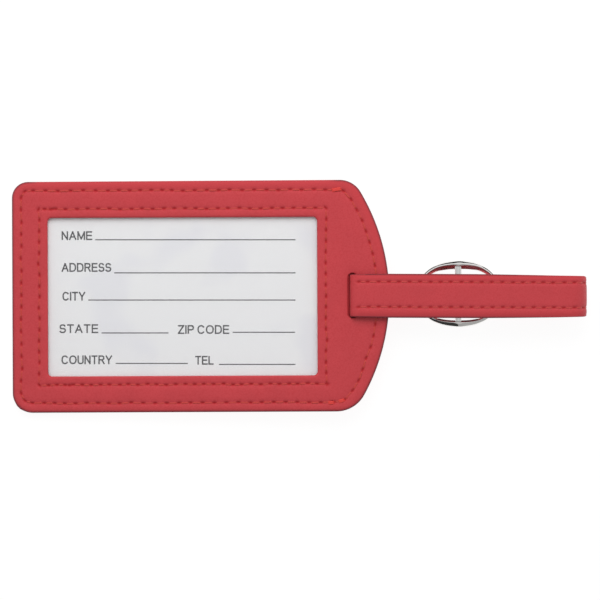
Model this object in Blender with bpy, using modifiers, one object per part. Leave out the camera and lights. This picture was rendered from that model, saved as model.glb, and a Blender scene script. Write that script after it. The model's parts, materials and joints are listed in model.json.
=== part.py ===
"""Luggage tag: a sewn leatherette card pocket with a clear window, and a buckled strap through its neck.

The tag is drawn flat, in a frame of its own: u runs along the tag from its left end, y across it, and
w up from its back face. An empty then tips that frame about the back face's left edge, because a tag
on a table stands on that edge and on the tip of the buckle's prong.
"""

import math

import bmesh
import bpy
from mathutils import Matrix, Vector

MM = 0.001

# The tag's outline.
TAG_LENGTH = 114.3 * MM
TAG_HALF_WIDTH = 35.0 * MM
LEFT_CORNER_RADIUS = 4.6 * MM
NECK_RADIUS = 62.1 * MM
SHOULDER_RADIUS = 6.7 * MM
NECK_CENTRE = TAG_LENGTH - NECK_RADIUS

# The layers of the pocket, as heights above the back face.
BACK_THICKNESS = 0.7 * MM
LAYER_GAP = 0.1 * MM
BOARD_THICKNESS = 0.35 * MM
CARD_THICKNESS = 0.25 * MM
SHEET_THICKNESS = 0.25 * MM
FRONT_FACE = 2.9 * MM
BOARD_LOW = BACK_THICKNESS + LAYER_GAP
CARD_LOW = BOARD_LOW + BOARD_THICKNESS + LAYER_GAP
SHEET_LOW = CARD_LOW + CARD_THICKNESS + LAYER_GAP
WELT_TOP = SHEET_LOW - LAYER_GAP
FRONT_LOW = SHEET_LOW + SHEET_THICKNESS + LAYER_GAP
FACING_TOP = FRONT_LOW - LAYER_GAP

# The card and its pocket. The mouth is the left end.
CARD_LENGTH = 89.0 * MM
CARD_WIDTH = 51.0 * MM
CARD_LEFT = 6.4 * MM
POCKET_RIGHT = CARD_LEFT + CARD_LENGTH + 0.5 * MM
POCKET_HALF_WIDTH = CARD_WIDTH / 2 + 0.8 * MM
THUMB_NOTCH_RADIUS = 9.0 * MM
WELT_INSET = 0.3 * MM
BACK_PANEL_RIGHT = 98.4 * MM
FACING_LEFT = BACK_PANEL_RIGHT + 0.3 * MM

# The window, and its clear sheet behind the front panel.
WINDOW_LEFT = 10.8 * MM
WINDOW_RIGHT = 92.45 * MM
WINDOW_HALF_WIDTH = 24.0 * MM
SHEET_LEFT = 2.0 * MM
SHEET_RIGHT = 98.2 * MM
SHEET_HALF_WIDTH = 33.0 * MM

# The strap: two plies with a glue line between them.
PLY = 0.7 * MM
GLUE_LINE = 0.1 * MM
STRAP_THICKNESS = 2 * PLY + GLUE_LINE
STRAP_WIDTH = 12.9 * MM
STRAP_Y = 0.1 * MM
PLY_OFFSET = (PLY + GLUE_LINE) / 2
FRONT_RUN = 4.15 * MM
BACK_RUN = -0.9 * MM

# The slot in the neck, and the strap's turn through it.
SLOT_LEFT = 101.35 * MM
SLOT_RIGHT = 104.4 * MM
SLOT_CLEARANCE = 0.3 * MM
TURN_LEFT = 103.1 * MM
TURN_RADIUS = 1.6 * MM

# The strap bends about this axis, just past the tip of the neck. One short stretch of each run changes shape.
SWING_AXIS = (115.2 * MM, 1.5 * MM)
BEND_START = 113.0 * MM
BEND_END = 119.1 * MM

# The fold at the far end of the loop.
FOLD_RADIUS = 4.0 * MM
OVERALL_LENGTH = 174.05 * MM
FOLD_CENTRE = (OVERALL_LENGTH - STRAP_THICKNESS / 2 - FOLD_RADIUS, FRONT_RUN - FOLD_RADIUS)

# The buckle: a bowed ring, a centre bar and a prong.
BAR_AXIS = (135.3 * MM, 0.9 * MM)
BUCKLE_Y = 0.75 * MM
BAR_RADIUS = 1.0 * MM
RING_HALF_LENGTH = 12.0 * MM
RING_HALF_WIDTH = 10.05 * MM
RING_END_RADIUS = 0.85 * MM
RING_RAIL_RADIUS = 1.1 * MM
RING_BOW = 3.65 * MM
RING_ROUNDNESS = 2.4
PRONG_RADIUS = 0.55 * MM
PRONG_REACH = 12.9 * MM
PRONG_BEND_RADIUS = 1.2 * MM
PRONG_SHAFT_DROP = 4.45 * MM
PRONG_TIP_DROP = 5.3 * MM

# Heights of the anchored run and of the tail, which lies along it past the bar, and how far past the bar
# both are level again.
ANCHOR_RUN = 1.05 * MM
TAIL_RUN = -0.55 * MM
TAIL_AT_RING = -0.6 * MM
TAIL_UNDER_BAR = -2.15 * MM
LEVEL_PAST_BAR = 7.2 * MM
TAIL_TIP = 158.3 * MM
HOLE_SPACING = 9.0 * MM
HOLE_RADIUS = 0.95 * MM

# Sewing thread.
THREAD_RADIUS = 0.18 * MM
THREAD_GAP = 0.04 * MM
OUTER_ROW_INSET = 2.8 * MM
NECK_ROW_INSET = 3.7 * MM
WINDOW_ROW_INSET = 2.65 * MM
STRAP_ROWS = {"far": 4.15 * MM, "near": -3.45 * MM}

# The tag stands on its left edge and on the prong's tip. The world's origin is under the middle of its
# whole length, which the thread on the far fold makes a little longer.
PRONG_TIP_LOW = BAR_AXIS[1] - PRONG_TIP_DROP - PRONG_RADIUS
TILT = math.atan2(-PRONG_TIP_LOW, BAR_AXIS[0] - PRONG_REACH)
THREAD_RIDGE = 2 * THREAD_RADIUS + THREAD_GAP
ORIGIN_SHIFT = (FRONT_FACE * math.sin(TILT) - OVERALL_LENGTH * math.cos(TILT) - THREAD_RIDGE) / 2

RED = (0.50, 0.062, 0.071)
DEEP_RED = (0.38, 0.045, 0.052)
THREAD_RED = (0.56, 0.05, 0.055)


def clear_scene():
    for obj in list(bpy.data.objects):
        bpy.data.objects.remove(obj, do_unlink=True)


def new_collection(name):
    collection = bpy.data.collections.new(name)
    bpy.context.scene.collection.children.link(collection)
    return collection


def new_material(name, colour, roughness, metallic=0.0, transmission=0.0):
    material = bpy.data.materials.new(name)
    material.use_nodes = True
    material.diffuse_color = (*colour, 1.0)
    shader = material.node_tree.nodes["Principled BSDF"]
    shader.inputs["Base Color"].default_value = (*colour, 1.0)
    shader.inputs["Roughness"].default_value = roughness
    shader.inputs["Metallic"].default_value = metallic
    shader.inputs["Transmission Weight"].default_value = transmission
    return material


clear_scene()
PARTS = new_collection("luggage_tag")
CUTTERS = new_collection("cutters")
PIVOTS = {}


def add_pivot(name, position, parent=None):
    """An empty at a place in the tag's frame, which is where the pieces of one body hang."""
    empty = bpy.data.objects.new(name, None)
    empty.empty_display_size = 5 * MM
    PARTS.objects.link(empty)
    place = Vector(position)
    if parent:
        parent_empty, parent_place = PIVOTS[parent]
        empty.parent = parent_empty
        empty.location = place - parent_place
    else:
        empty.location = place
    PIVOTS[name] = (empty, place)


def add_part(name, mesh, pivot, material):
    """A sub-part from a mesh drawn in the tag's frame. Its origin moves to its body's pivot."""
    obj = bpy.data.objects.new(name, mesh)
    PARTS.objects.link(obj)
    empty, place = PIVOTS[pivot]
    mesh.name = name
    mesh.transform(Matrix.Translation(-place))
    mesh.materials.clear()
    mesh.materials.append(material)
    obj.parent = empty
    return obj


def curve_to_mesh(curve, matrix):
    """The closed mesh of a curve, with the curve's loose caps welded on."""
    guide = bpy.data.objects.new("guide", curve)
    CUTTERS.objects.link(guide)
    bpy.context.view_layer.update()
    graph = bpy.context.evaluated_depsgraph_get()
    mesh = bpy.data.meshes.new_from_object(guide.evaluated_get(graph))
    bpy.data.objects.remove(guide, do_unlink=True)
    shape = bmesh.new()
    shape.from_mesh(mesh)
    bmesh.ops.remove_doubles(shape, verts=shape.verts, dist=1e-6)
    bmesh.ops.recalc_face_normals(shape, faces=shape.faces)
    shape.to_mesh(mesh)
    shape.free()
    mesh.transform(matrix)
    return mesh


def extruded(outlines, low, high, matrix=None):
    """A flat shape, with any further outlines as its holes, from one height to another."""
    curve = bpy.data.curves.new("outline", "CURVE")
    curve.dimensions = "2D"
    curve.fill_mode = "BOTH"
    curve.extrude = (high - low) / 2
    for outline in outlines:
        spline = curve.splines.new("POLY")
        spline.points.add(len(outline) - 1)
        spline.use_cyclic_u = True
        for point, (x, y) in zip(spline.points, outline):
            point.co = (x, y, 0, 1)
    raised = Matrix.Translation((0, 0, (high + low) / 2))
    return curve_to_mesh(curve, (matrix or Matrix()) @ raised)


def tube(points, radius, closed=False, swell=None):
    """A round wire along points. swell holds a factor on the radius at each point."""
    curve = bpy.data.curves.new("route", "CURVE")
    curve.dimensions = "3D"
    curve.bevel_depth = radius
    curve.bevel_resolution = 2
    curve.use_fill_caps = not closed
    spline = curve.splines.new("POLY")
    spline.points.add(len(points) - 1)
    spline.use_cyclic_u = closed
    for index, (point, place) in enumerate(zip(spline.points, points)):
        point.co = (*place, 1)
        point.radius = swell[index] if swell else 1.0
    return curve_to_mesh(curve, Matrix())


def smooth(obj, angle=40):
    obj.data.shade_smooth()
    obj.data.set_sharp_from_angle(angle=math.radians(angle))


def add_cutter(name, mesh):
    """A cutter drawn in the tag's frame."""
    cutter = bpy.data.objects.new(name, mesh)
    CUTTERS.objects.link(cutter)
    cutter.parent = PIVOTS["tag_frame"][0]
    cutter.hide_render = True
    cutter.display_type = "WIRE"
    return cutter


def box_mesh(low, high):
    shape = bmesh.new()
    bmesh.ops.create_cube(shape, size=1)
    size = Vector(high) - Vector(low)
    middle = (Vector(high) + Vector(low)) / 2
    bmesh.ops.scale(shape, vec=size, verts=shape.verts)
    bmesh.ops.translate(shape, vec=middle, verts=shape.verts)
    mesh = bpy.data.meshes.new("box")
    shape.to_mesh(mesh)
    shape.free()
    return mesh


def cut(obj, cutter):
    modifier = obj.modifiers.new(cutter.name, "BOOLEAN")
    modifier.operation = "DIFFERENCE"
    modifier.solver = "EXACT"
    modifier.object = cutter


def round_edges(obj, width, segments=2):
    modifier = obj.modifiers.new("rounded edges", "BEVEL")
    modifier.width = width
    modifier.segments = segments
    modifier.limit_method = "ANGLE"
    modifier.angle_limit = math.radians(60)


def arc(centre, radius, start, end, steps):
    """Points from one angle to another, in degrees, both ends included."""
    angles = [math.radians(start + (end - start) * step / steps) for step in range(steps + 1)]
    return [(centre[0] + radius * math.cos(a), centre[1] + radius * math.sin(a)) for a in angles]


def rounded_rectangle(left, right, low, high, radius, steps=4):
    """Anticlockwise from the lower right corner."""
    corners = ((right - radius, low + radius, -90), (right - radius, high - radius, 0),
               (left + radius, high - radius, 90), (left + radius, low + radius, 180))
    points = []
    for u, y, start in corners:
        points += arc((u, y), radius, start, start + 90, steps)
    return points


def easing(start, end, steps=8):
    """An S between two points, level at both ends, which it includes."""
    points = []
    for step in range(steps + 1):
        part = step / steps
        rise = part * part * (3 - 2 * part)
        points.append((start[0] + (end[0] - start[0]) * part, start[1] + (end[1] - start[1]) * rise))
    return points


def neck_outline(inset=0.0, neck_inset=0.0):
    """The right end, anticlockwise: the lower shoulder, the neck's long arc and the upper shoulder."""
    half_width = TAG_HALF_WIDTH - inset
    radius = NECK_RADIUS - neck_inset
    shoulder_y = half_width - SHOULDER_RADIUS
    reach = math.sqrt((radius - SHOULDER_RADIUS) ** 2 - shoulder_y ** 2)
    shoulder_u = NECK_CENTRE + reach
    turn = math.degrees(math.atan2(shoulder_y, reach))
    points = arc((shoulder_u, -shoulder_y), SHOULDER_RADIUS, -90, -turn, 6)
    points += arc((NECK_CENTRE, 0), radius, -turn, turn, 22)[1:-1]
    points += arc((shoulder_u, shoulder_y), SHOULDER_RADIUS, turn, 90, 6)
    return points


def left_corner(inset, side, radius):
    """A corner of the left end, upper for side 1 and lower for side -1, run anticlockwise."""
    centre = (inset + radius, side * (TAG_HALF_WIDTH - inset - radius))
    start = 90 if side > 0 else 180
    return arc(centre, radius, start, start + 90, 5)


def tag_outline(inset=0.0, neck_inset=0.0):
    radius = max(LEFT_CORNER_RADIUS - inset, 1.5 * MM)
    upper = left_corner(inset, 1, radius)
    lower = left_corner(inset, -1, radius)
    return neck_outline(inset, neck_inset) + upper + lower


def slot_outline():
    """The strap's slot, as wide as the strap and its clearance."""
    half = STRAP_WIDTH / 2 + SLOT_CLEARANCE
    return rounded_rectangle(SLOT_LEFT, SLOT_RIGHT, STRAP_Y - half, STRAP_Y + half, 1.2 * MM, 3)


def notched_left_end(right, half_width, corner_radius, left, notch_radius):
    """A panel's outline with a thumb notch in the middle of its left edge."""
    points = [(right, -half_width), (right, half_width)]
    points += arc((left + corner_radius, half_width - corner_radius), corner_radius, 90, 180, 5)
    points += arc((0, 0), notch_radius, 83, -83, 14)
    points += arc((left + corner_radius, corner_radius - half_width), corner_radius, 180, 270, 5)
    return points


def offset_path(path, distance):
    """A path moved to its left by a distance, with the same thickness kept round its corners."""
    moved = []
    for index, point in enumerate(path):
        before = Vector(path[max(index - 1, 0)])
        here = Vector(point)
        after = Vector(path[min(index + 1, len(path) - 1)])
        incoming = (here - before).normalized() if index else (after - here).normalized()
        outgoing = (after - here).normalized() if index < len(path) - 1 else incoming
        along = (incoming + outgoing).normalized()
        stretch = 1 / max(along.dot(incoming), 0.5)
        moved.append((here.x - along.y * distance * stretch, here.y + along.x * distance * stretch))
    return moved


def ribbon(path, thickness):
    """A strip of the strap's width that follows a path in the u and w plane."""
    outline = offset_path(path, thickness / 2) + offset_path(path, -thickness / 2)[::-1]
    upright = Matrix.Rotation(math.radians(90), 4, "X")
    return extruded([outline], -STRAP_Y - STRAP_WIDTH / 2, -STRAP_Y + STRAP_WIDTH / 2, upright)


def build_front_panel(material):
    window = rounded_rectangle(WINDOW_LEFT, WINDOW_RIGHT, -WINDOW_HALF_WIDTH, WINDOW_HALF_WIDTH, 1.2 * MM)
    mesh = extruded([tag_outline(), window, slot_outline()], FRONT_LOW, FRONT_FACE)
    round_edges(add_part("front_panel", mesh, "tag_frame", material), 0.4 * MM)


def build_back_panel(material):
    outline = notched_left_end(BACK_PANEL_RIGHT, TAG_HALF_WIDTH, LEFT_CORNER_RADIUS, 0, THUMB_NOTCH_RADIUS)
    mesh = extruded([outline], 0, BACK_THICKNESS)
    round_edges(add_part("back_panel", mesh, "tag_frame", material), 0.25 * MM)


def build_pocket_welt(material):
    """The three-sided strip between the two panels that gives the pocket its depth, open at the mouth."""
    half_width = TAG_HALF_WIDTH - WELT_INSET
    radius = LEFT_CORNER_RADIUS - WELT_INSET
    outline = [(BACK_PANEL_RIGHT, -half_width), (BACK_PANEL_RIGHT, half_width)]
    outline += left_corner(WELT_INSET, 1, radius)
    outline += [(WELT_INSET, POCKET_HALF_WIDTH), (POCKET_RIGHT, POCKET_HALF_WIDTH)]
    outline += [(POCKET_RIGHT, -POCKET_HALF_WIDTH), (WELT_INSET, -POCKET_HALF_WIDTH)]
    outline += left_corner(WELT_INSET, -1, radius)
    add_part("pocket_welt", extruded([outline], BOARD_LOW, WELT_TOP), "tag_frame", material)


def build_neck_facing(material):
    edge = [(FACING_LEFT, TAG_HALF_WIDTH), (FACING_LEFT, -TAG_HALF_WIDTH)]
    outlines = [neck_outline() + edge, slot_outline()]
    facing = add_part("neck_facing", extruded(outlines, 0, FACING_TOP), "tag_frame", material)
    round_edges(facing, 0.25 * MM)


def build_pocket_inside(board_material, card_material, sheet_material):
    board = notched_left_end(POCKET_RIGHT - 0.2 * MM, POCKET_HALF_WIDTH - 0.2 * MM, 2 * MM, 1 * MM,
                             THUMB_NOTCH_RADIUS + 0.4 * MM)
    add_part("back_board", extruded([board], BOARD_LOW, BOARD_LOW + BOARD_THICKNESS), "tag_frame",
             board_material)
    card = rounded_rectangle(CARD_LEFT, CARD_LEFT + CARD_LENGTH, -CARD_WIDTH / 2, CARD_WIDTH / 2, 1.5 * MM)
    add_part("id_card", extruded([card], CARD_LOW, CARD_LOW + CARD_THICKNESS), "card_pivot", card_material)
    sheet = rounded_rectangle(SHEET_LEFT, SHEET_RIGHT, -SHEET_HALF_WIDTH, SHEET_HALF_WIDTH, 3 * MM)
    add_part("window_sheet", extruded([sheet], SHEET_LOW, SHEET_LOW + SHEET_THICKNESS), "tag_frame",
             sheet_material)


def build_panel_stitching(material):
    height = FRONT_FACE + THREAD_GAP + THREAD_RADIUS
    window_row = rounded_rectangle(
        WINDOW_LEFT - WINDOW_ROW_INSET, WINDOW_RIGHT + WINDOW_ROW_INSET,
        -WINDOW_HALF_WIDTH - WINDOW_ROW_INSET, WINDOW_HALF_WIDTH + WINDOW_ROW_INSET, 0.6 * MM, 2)
    rows = {"outer_stitching": tag_outline(OUTER_ROW_INSET, NECK_ROW_INSET), "window_stitching": window_row}
    for name, row in rows.items():
        mesh = tube([(u, y, height) for u, y in row], THREAD_RADIUS, closed=True)
        smooth(add_part(name, mesh, "tag_frame", material), 70)


def slot_turn_path():
    """The middle of the strap where it goes round the neck's land: back run, slot, front run."""
    upper = (TURN_LEFT + TURN_RADIUS, FRONT_RUN - TURN_RADIUS)
    lower = (TURN_LEFT + TURN_RADIUS, BACK_RUN + TURN_RADIUS)
    path = [(BEND_START, BACK_RUN)]
    path += arc(lower, TURN_RADIUS, 270, 180, 6)
    path += arc(upper, TURN_RADIUS, 180, 90, 6)
    path.append((BEND_START, FRONT_RUN))
    return path


def face_ply_path():
    """The leatherette face ply: front run, far fold, anchored run, round the bar and back along itself."""
    fold_radius = FOLD_RADIUS + PLY_OFFSET
    anchor = ANCHOR_RUN - PLY_OFFSET
    bar_u, bar_w = BAR_AXIS
    wrap = BAR_RADIUS + LAYER_GAP + PLY / 2
    fold_end = (FOLD_CENTRE[0], FOLD_CENTRE[1] - fold_radius)
    level_end = (bar_u + LEVEL_PAST_BAR, anchor)
    bar_end = (bar_u + 2.2 * MM, bar_w - wrap)
    sewn_start = (bar_u + 3.7 * MM, ANCHOR_RUN + PLY_OFFSET + PLY + GLUE_LINE)
    path = [(BEND_END, FRONT_RUN + PLY_OFFSET)]
    path += arc(FOLD_CENTRE, fold_radius, 90, -90, 16)[:-1]
    path += easing(fold_end, (TAIL_TIP + 1.2 * MM, anchor), 10)
    path += easing(level_end, bar_end)
    path += arc(BAR_AXIS, wrap, -90, -270, 12)
    path.append(sewn_start)
    path.append((bar_u + 10.7 * MM, sewn_start[1]))
    return path


def lining_path():
    """The lining ply, inside the face ply as far as the bar, where it is skived off."""
    bar_side = BAR_AXIS[0] + 3.3 * MM
    face = face_ply_path()
    lowest = max(index for index, point in enumerate(face) if point[0] > bar_side and point[1] < ANCHOR_RUN)
    return offset_path(face[:lowest + 1], -2 * PLY_OFFSET)


def tail_path():
    """The middle of the tail: back run, inside the ring's near end, outside the bar, along the anchored run."""
    bar_u = BAR_AXIS[0]
    path = easing((BEND_END, BACK_RUN), (bar_u - 12.3 * MM, TAIL_AT_RING), 4)
    path += easing((bar_u - 7.8 * MM, TAIL_AT_RING), (bar_u - 2.3 * MM, TAIL_UNDER_BAR))
    path += easing((bar_u + 2.2 * MM, TAIL_UNDER_BAR), (bar_u + LEVEL_PAST_BAR, TAIL_RUN))
    path.append((TAIL_TIP, TAIL_RUN))
    return path


def build_strap(face_material, lining_material):
    turn = slot_turn_path()
    add_part("slot_outer_ply", ribbon(offset_path(turn, PLY_OFFSET), PLY), "tag_frame", face_material)
    add_part("slot_inner_ply", ribbon(offset_path(turn, -PLY_OFFSET), PLY), "tag_frame", lining_material)
    for name, height in (("strap_bend_top", FRONT_RUN), ("strap_bend_bottom", BACK_RUN)):
        stretch = [(BEND_START + LAYER_GAP, height), (BEND_END - LAYER_GAP, height)]
        add_part(name, ribbon(stretch, STRAP_THICKNESS), "tag_frame", face_material)
    eye_slot = box_mesh((BAR_AXIS[0] - 3 * MM, STRAP_Y - 0.85 * MM, -6 * MM),
                        (BAR_AXIS[0] + 2.7 * MM, STRAP_Y + 0.85 * MM, 3.3 * MM))
    face_ply = add_part("loop_outer_ply", ribbon(face_ply_path(), PLY), "strap_pivot", face_material)
    cut(face_ply, add_cutter("eye_slot", eye_slot))
    add_part("loop_inner_ply", ribbon(lining_path(), PLY), "strap_pivot", lining_material)
    tail_plies = {"tail_outer_ply": (-PLY_OFFSET, face_material), "tail_inner_ply": (PLY_OFFSET, lining_material)}
    holes = add_tail_holes()
    for name, (side, material) in tail_plies.items():
        ply = add_part(name, ribbon(offset_path(tail_path(), side), PLY), "strap_pivot", material)
        for hole in holes:
            cut(ply, hole)


def add_tail_holes():
    """The prong's oblong hole, long enough for the prong to lift, and a spare round hole on each side."""
    long_left = BAR_AXIS[0] - 1.8 * MM
    long_right = BAR_AXIS[0] + 0.5 * MM
    middle = (long_left + long_right) / 2
    spans = {"prong_hole": (long_left, long_right),
             "near_hole": (middle - HOLE_SPACING,) * 2,
             "far_hole": (middle + HOLE_SPACING,) * 2}
    cutters = []
    for name, (left, right) in spans.items():
        outline = arc((right, STRAP_Y), HOLE_RADIUS, -85, 85, 6) + arc((left, STRAP_Y), HOLE_RADIUS, 95, 265, 6)
        cutters.append(add_cutter(name, extruded([outline], -6 * MM, 1 * MM)))
    return cutters


def build_strap_stitching(material):
    lift = PLY / 2 + THREAD_GAP + THREAD_RADIUS
    face = face_ply_path()
    shown = [point for point in face if point[0] > TAIL_TIP + 6 * MM]
    route = [(BEND_END + 0.5 * MM, FRONT_RUN + PLY_OFFSET)] + shown
    for side, across in STRAP_ROWS.items():
        points = [(u, STRAP_Y + across, w) for u, w in offset_path(route, lift)]
        smooth(add_part(f"strap_stitching_{side}", tube(points, THREAD_RADIUS), "strap_pivot", material), 70)


def ring_points():
    """The ring's wire, a superellipse in plan, whose ends bow down past the straps."""
    half_length = RING_HALF_LENGTH - RING_END_RADIUS
    half_width = RING_HALF_WIDTH - RING_RAIL_RADIUS
    points = []
    swell = []
    count = 48
    for index in range(count):
        angle = 2 * math.pi * (index + 0.5) / count
        across = math.copysign(abs(math.sin(angle)) ** (2 / RING_ROUNDNESS), math.sin(angle))
        along = math.copysign(abs(math.cos(angle)) ** (2 / RING_ROUNDNESS), math.cos(angle))
        reach = min(max((abs(along) * half_length - 1 * MM) / (6.5 * MM), 0), 1)
        drop = RING_BOW * reach * reach * (3 - 2 * reach)
        points.append((BAR_AXIS[0] + along * half_length, BUCKLE_Y + across * half_width, BAR_AXIS[1] - drop))
        swell.append(1 + (RING_RAIL_RADIUS / RING_END_RADIUS - 1) * abs(across) ** 4)
    return points, swell


def prong_points():
    """The prong's wire: an eye round the bar, out through the tail's hole, and along to the ring's near end."""
    eye = BAR_RADIUS + LAYER_GAP + PRONG_RADIUS
    bend_centre = (-eye - PRONG_BEND_RADIUS, PRONG_BEND_RADIUS - PRONG_SHAFT_DROP)
    path = arc((0, 0), eye, -90, 180, 14)
    path += arc(bend_centre, PRONG_BEND_RADIUS, 0, -90, 5)
    path.append((-PRONG_REACH, -PRONG_TIP_DROP))
    return [(BAR_AXIS[0] + u, STRAP_Y, BAR_AXIS[1] + w) for u, w in path]


def build_buckle(ring_material, bar_material):
    points, swell = ring_points()
    ring = add_part("buckle_frame", tube(points, RING_END_RADIUS, True, swell), "buckle_pivot", ring_material)
    smooth(ring, 70)
    half = RING_HALF_WIDTH - 2 * RING_RAIL_RADIUS - 0.08 * MM
    bar_ends = [(BAR_AXIS[0], BUCKLE_Y - half, BAR_AXIS[1]), (BAR_AXIS[0], BUCKLE_Y + half, BAR_AXIS[1])]
    smooth(add_part("buckle_bar", tube(bar_ends, BAR_RADIUS), "buckle_pivot", bar_material))
    prong = add_part("buckle_prong", tube(prong_points(), PRONG_RADIUS), "prong_pivot", ring_material)
    smooth(prong)


def add_pivots():
    add_pivot("tag_frame", (0, 0, 0))
    frame = PIVOTS["tag_frame"][0]
    frame.location.x = ORIGIN_SHIFT
    frame.rotation_euler.y = -TILT
    add_pivot("card_pivot", (CARD_LEFT, 0, CARD_LOW), "tag_frame")
    add_pivot("strap_pivot", (SWING_AXIS[0], STRAP_Y, SWING_AXIS[1]), "tag_frame")
    add_pivot("buckle_pivot", (BAR_AXIS[0], BUCKLE_Y, BAR_AXIS[1]), "strap_pivot")
    add_pivot("prong_pivot", (BAR_AXIS[0], STRAP_Y, BAR_AXIS[1]), "buckle_pivot")


def build():
    leatherette = new_material("red_leatherette", RED, 0.55)
    strap_face = new_material("strap_leatherette", RED, 0.5)
    lining = new_material("strap_lining", DEEP_RED, 0.7)
    thread = new_material("red_thread", THREAD_RED, 0.45)
    board = new_material("greyboard", (0.32, 0.29, 0.25), 0.9)
    card = new_material("card_stock", (0.78, 0.78, 0.79), 0.6)
    clear = new_material("clear_vinyl", (0.95, 0.96, 0.97), 0.1, transmission=0.9)
    chrome = new_material("nickel_plate", (0.62, 0.62, 0.63), 0.15, metallic=1.0)
    steel = new_material("bar_steel", (0.70, 0.70, 0.71), 0.25, metallic=1.0)
    add_pivots()
    build_front_panel(leatherette)
    build_back_panel(leatherette)
    build_pocket_welt(leatherette)
    build_neck_facing(leatherette)
    build_pocket_inside(board, card, clear)
    build_panel_stitching(thread)
    build_strap(strap_face, lining)
    build_strap_stitching(thread)
    build_buckle(chrome, steel)


build()
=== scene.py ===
import json
import math
import random

import bmesh
import bpy
import numpy as np
from mathutils import Matrix, Vector, geometry, noise


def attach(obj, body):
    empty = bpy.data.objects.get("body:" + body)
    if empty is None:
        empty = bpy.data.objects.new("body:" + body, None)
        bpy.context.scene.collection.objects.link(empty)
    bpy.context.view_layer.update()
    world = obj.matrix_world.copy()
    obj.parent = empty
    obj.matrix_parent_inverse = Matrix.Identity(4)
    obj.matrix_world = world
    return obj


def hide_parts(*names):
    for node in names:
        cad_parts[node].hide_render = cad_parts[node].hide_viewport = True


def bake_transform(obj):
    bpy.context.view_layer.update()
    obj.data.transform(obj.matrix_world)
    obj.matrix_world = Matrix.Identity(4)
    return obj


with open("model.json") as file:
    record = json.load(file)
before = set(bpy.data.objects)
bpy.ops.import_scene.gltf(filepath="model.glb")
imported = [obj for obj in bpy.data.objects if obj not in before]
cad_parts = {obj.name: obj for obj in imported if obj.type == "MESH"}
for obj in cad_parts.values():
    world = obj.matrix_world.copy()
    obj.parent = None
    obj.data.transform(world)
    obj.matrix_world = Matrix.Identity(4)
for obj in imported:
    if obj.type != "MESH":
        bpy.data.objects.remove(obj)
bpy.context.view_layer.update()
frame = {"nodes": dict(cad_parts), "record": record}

# Everything is drawn in the tag's own flat frame, as in the CAD: u along the tag from its left end, y
# across it and w up from its back face. FRAME_TO_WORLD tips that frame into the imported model's place.
MM = 0.001

# Sizes, most of them repeated from the CAD.
TAG_LENGTH = 114.3 * MM
TAG_HALF_WIDTH = 35.0 * MM
UPPER_FLARE = 0.22 * MM
UPPER_CORNER_RADIUS = 4.9 * MM
LOWER_CORNER_RADIUS = 6.0 * MM
NECK_RADIUS = 62.1 * MM
UPPER_SHOULDER_RADIUS = 7.3 * MM
LOWER_SHOULDER_RADIUS = 9.6 * MM
NECK_CENTRE = TAG_LENGTH - NECK_RADIUS
BACK_THICKNESS = 0.7 * MM
FRONT_LOW = 1.95 * MM
FRONT_FACE = 2.9 * MM
FACING_TOP = 1.85 * MM
SHEET_LOW = 1.6 * MM
SHEET_TOP = 1.85 * MM
CARD_TOP = 1.5 * MM
CARD_LOW = 1.25 * MM
CARD_LEFT = 6.4 * MM
CARD_LENGTH = 89.0 * MM
CARD_WIDTH = 51.0 * MM
BACK_PANEL_RIGHT = 98.4 * MM
FACING_LEFT = 98.7 * MM
THUMB_NOTCH_RADIUS = 9.0 * MM
MOUTH_DEPTH = 4.0 * MM
WINDOW_LEFT = 10.8 * MM
WINDOW_RIGHT = 92.45 * MM
WINDOW_HALF_WIDTH = 24.0 * MM
SHEET_LEFT = 2.0 * MM
SHEET_RIGHT = 98.2 * MM
SHEET_HALF_WIDTH = 33.0 * MM
PLY = 0.7 * MM
PLY_OFFSET = 0.4 * MM
STRAP_WIDTH = 12.9 * MM
STRAP_Y = 0.1 * MM
FRONT_RUN = 4.15 * MM
BACK_RUN = -0.9 * MM
SLOT_LEFT = 101.75 * MM
FACING_SLOT_LEFT = 102.42 * MM
SLOT_RIGHT = 104.4 * MM
SLOT_CLEARANCE = 0.3 * MM
TURN_LEFT = 103.1 * MM
TURN_RADIUS = 1.6 * MM
SWING_AXIS = Vector((115.2, 0.1, 1.5)) * MM
BEND_END = 119.1 * MM
FOLD_RADIUS = 4.0 * MM
STRAP_FAR_END = 174.4 * MM
STRAP_DRIFT = -0.52 * MM
DRIFT_END = 165.0 * MM
WIDER_PAST_SLOT = 0.2 * MM
WIDENING_LENGTH = 8.0 * MM
NARROWING_START = 140.0 * MM
NARROWER_AT_FOLD = 0.5 * MM
FOLD_CORNER = 1.3 * MM
FOLD_CORNER_DEPTH = 0.9 * MM
TAIL_ROUNDING = 5.5 * MM
PLY_ROUNDING = 0.32 * MM
RIBBON_STEP = 0.32 * MM
PLY_COLUMNS = 44
PLY_SWELL = 0.07 * MM
PLY_SWELL_REACH = 0.9 * MM
PLY_CROWN = 0.1 * MM
FOLD_CENTRE = (STRAP_FAR_END - 0.75 * MM - FOLD_RADIUS, FRONT_RUN - FOLD_RADIUS)
BAR_AXIS = (135.3 * MM, 0.9 * MM)
BUCKLE_Y = 0.5 * MM
BAR_RADIUS = 1.0 * MM
RING_BOW = 3.75 * MM
BOW_EASE = 1.6 * MM
BOW_REACH = 8.3 * MM
RING_SECTIONS = 200
BAR_SIDES = 28
PRONG_SIDES = 16
BAR_PLATING = 1.06
PRONG_RADIUS = 0.55 * MM
PRONG_REACH = 12.9 * MM
PRONG_BEND_RADIUS = 1.2 * MM
PRONG_SHAFT_DROP = 4.6 * MM
PRONG_TIP_DROP = 5.3 * MM
LAYER_GAP = 0.1 * MM
ANCHOR_RUN = 1.05 * MM
TAIL_RUN = -0.55 * MM
TAIL_AT_RING = -0.6 * MM
TAIL_UNDER_BAR = -2.15 * MM
LEVEL_PAST_BAR = 7.2 * MM
BAR_FLANK = 2.2 * MM
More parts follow.
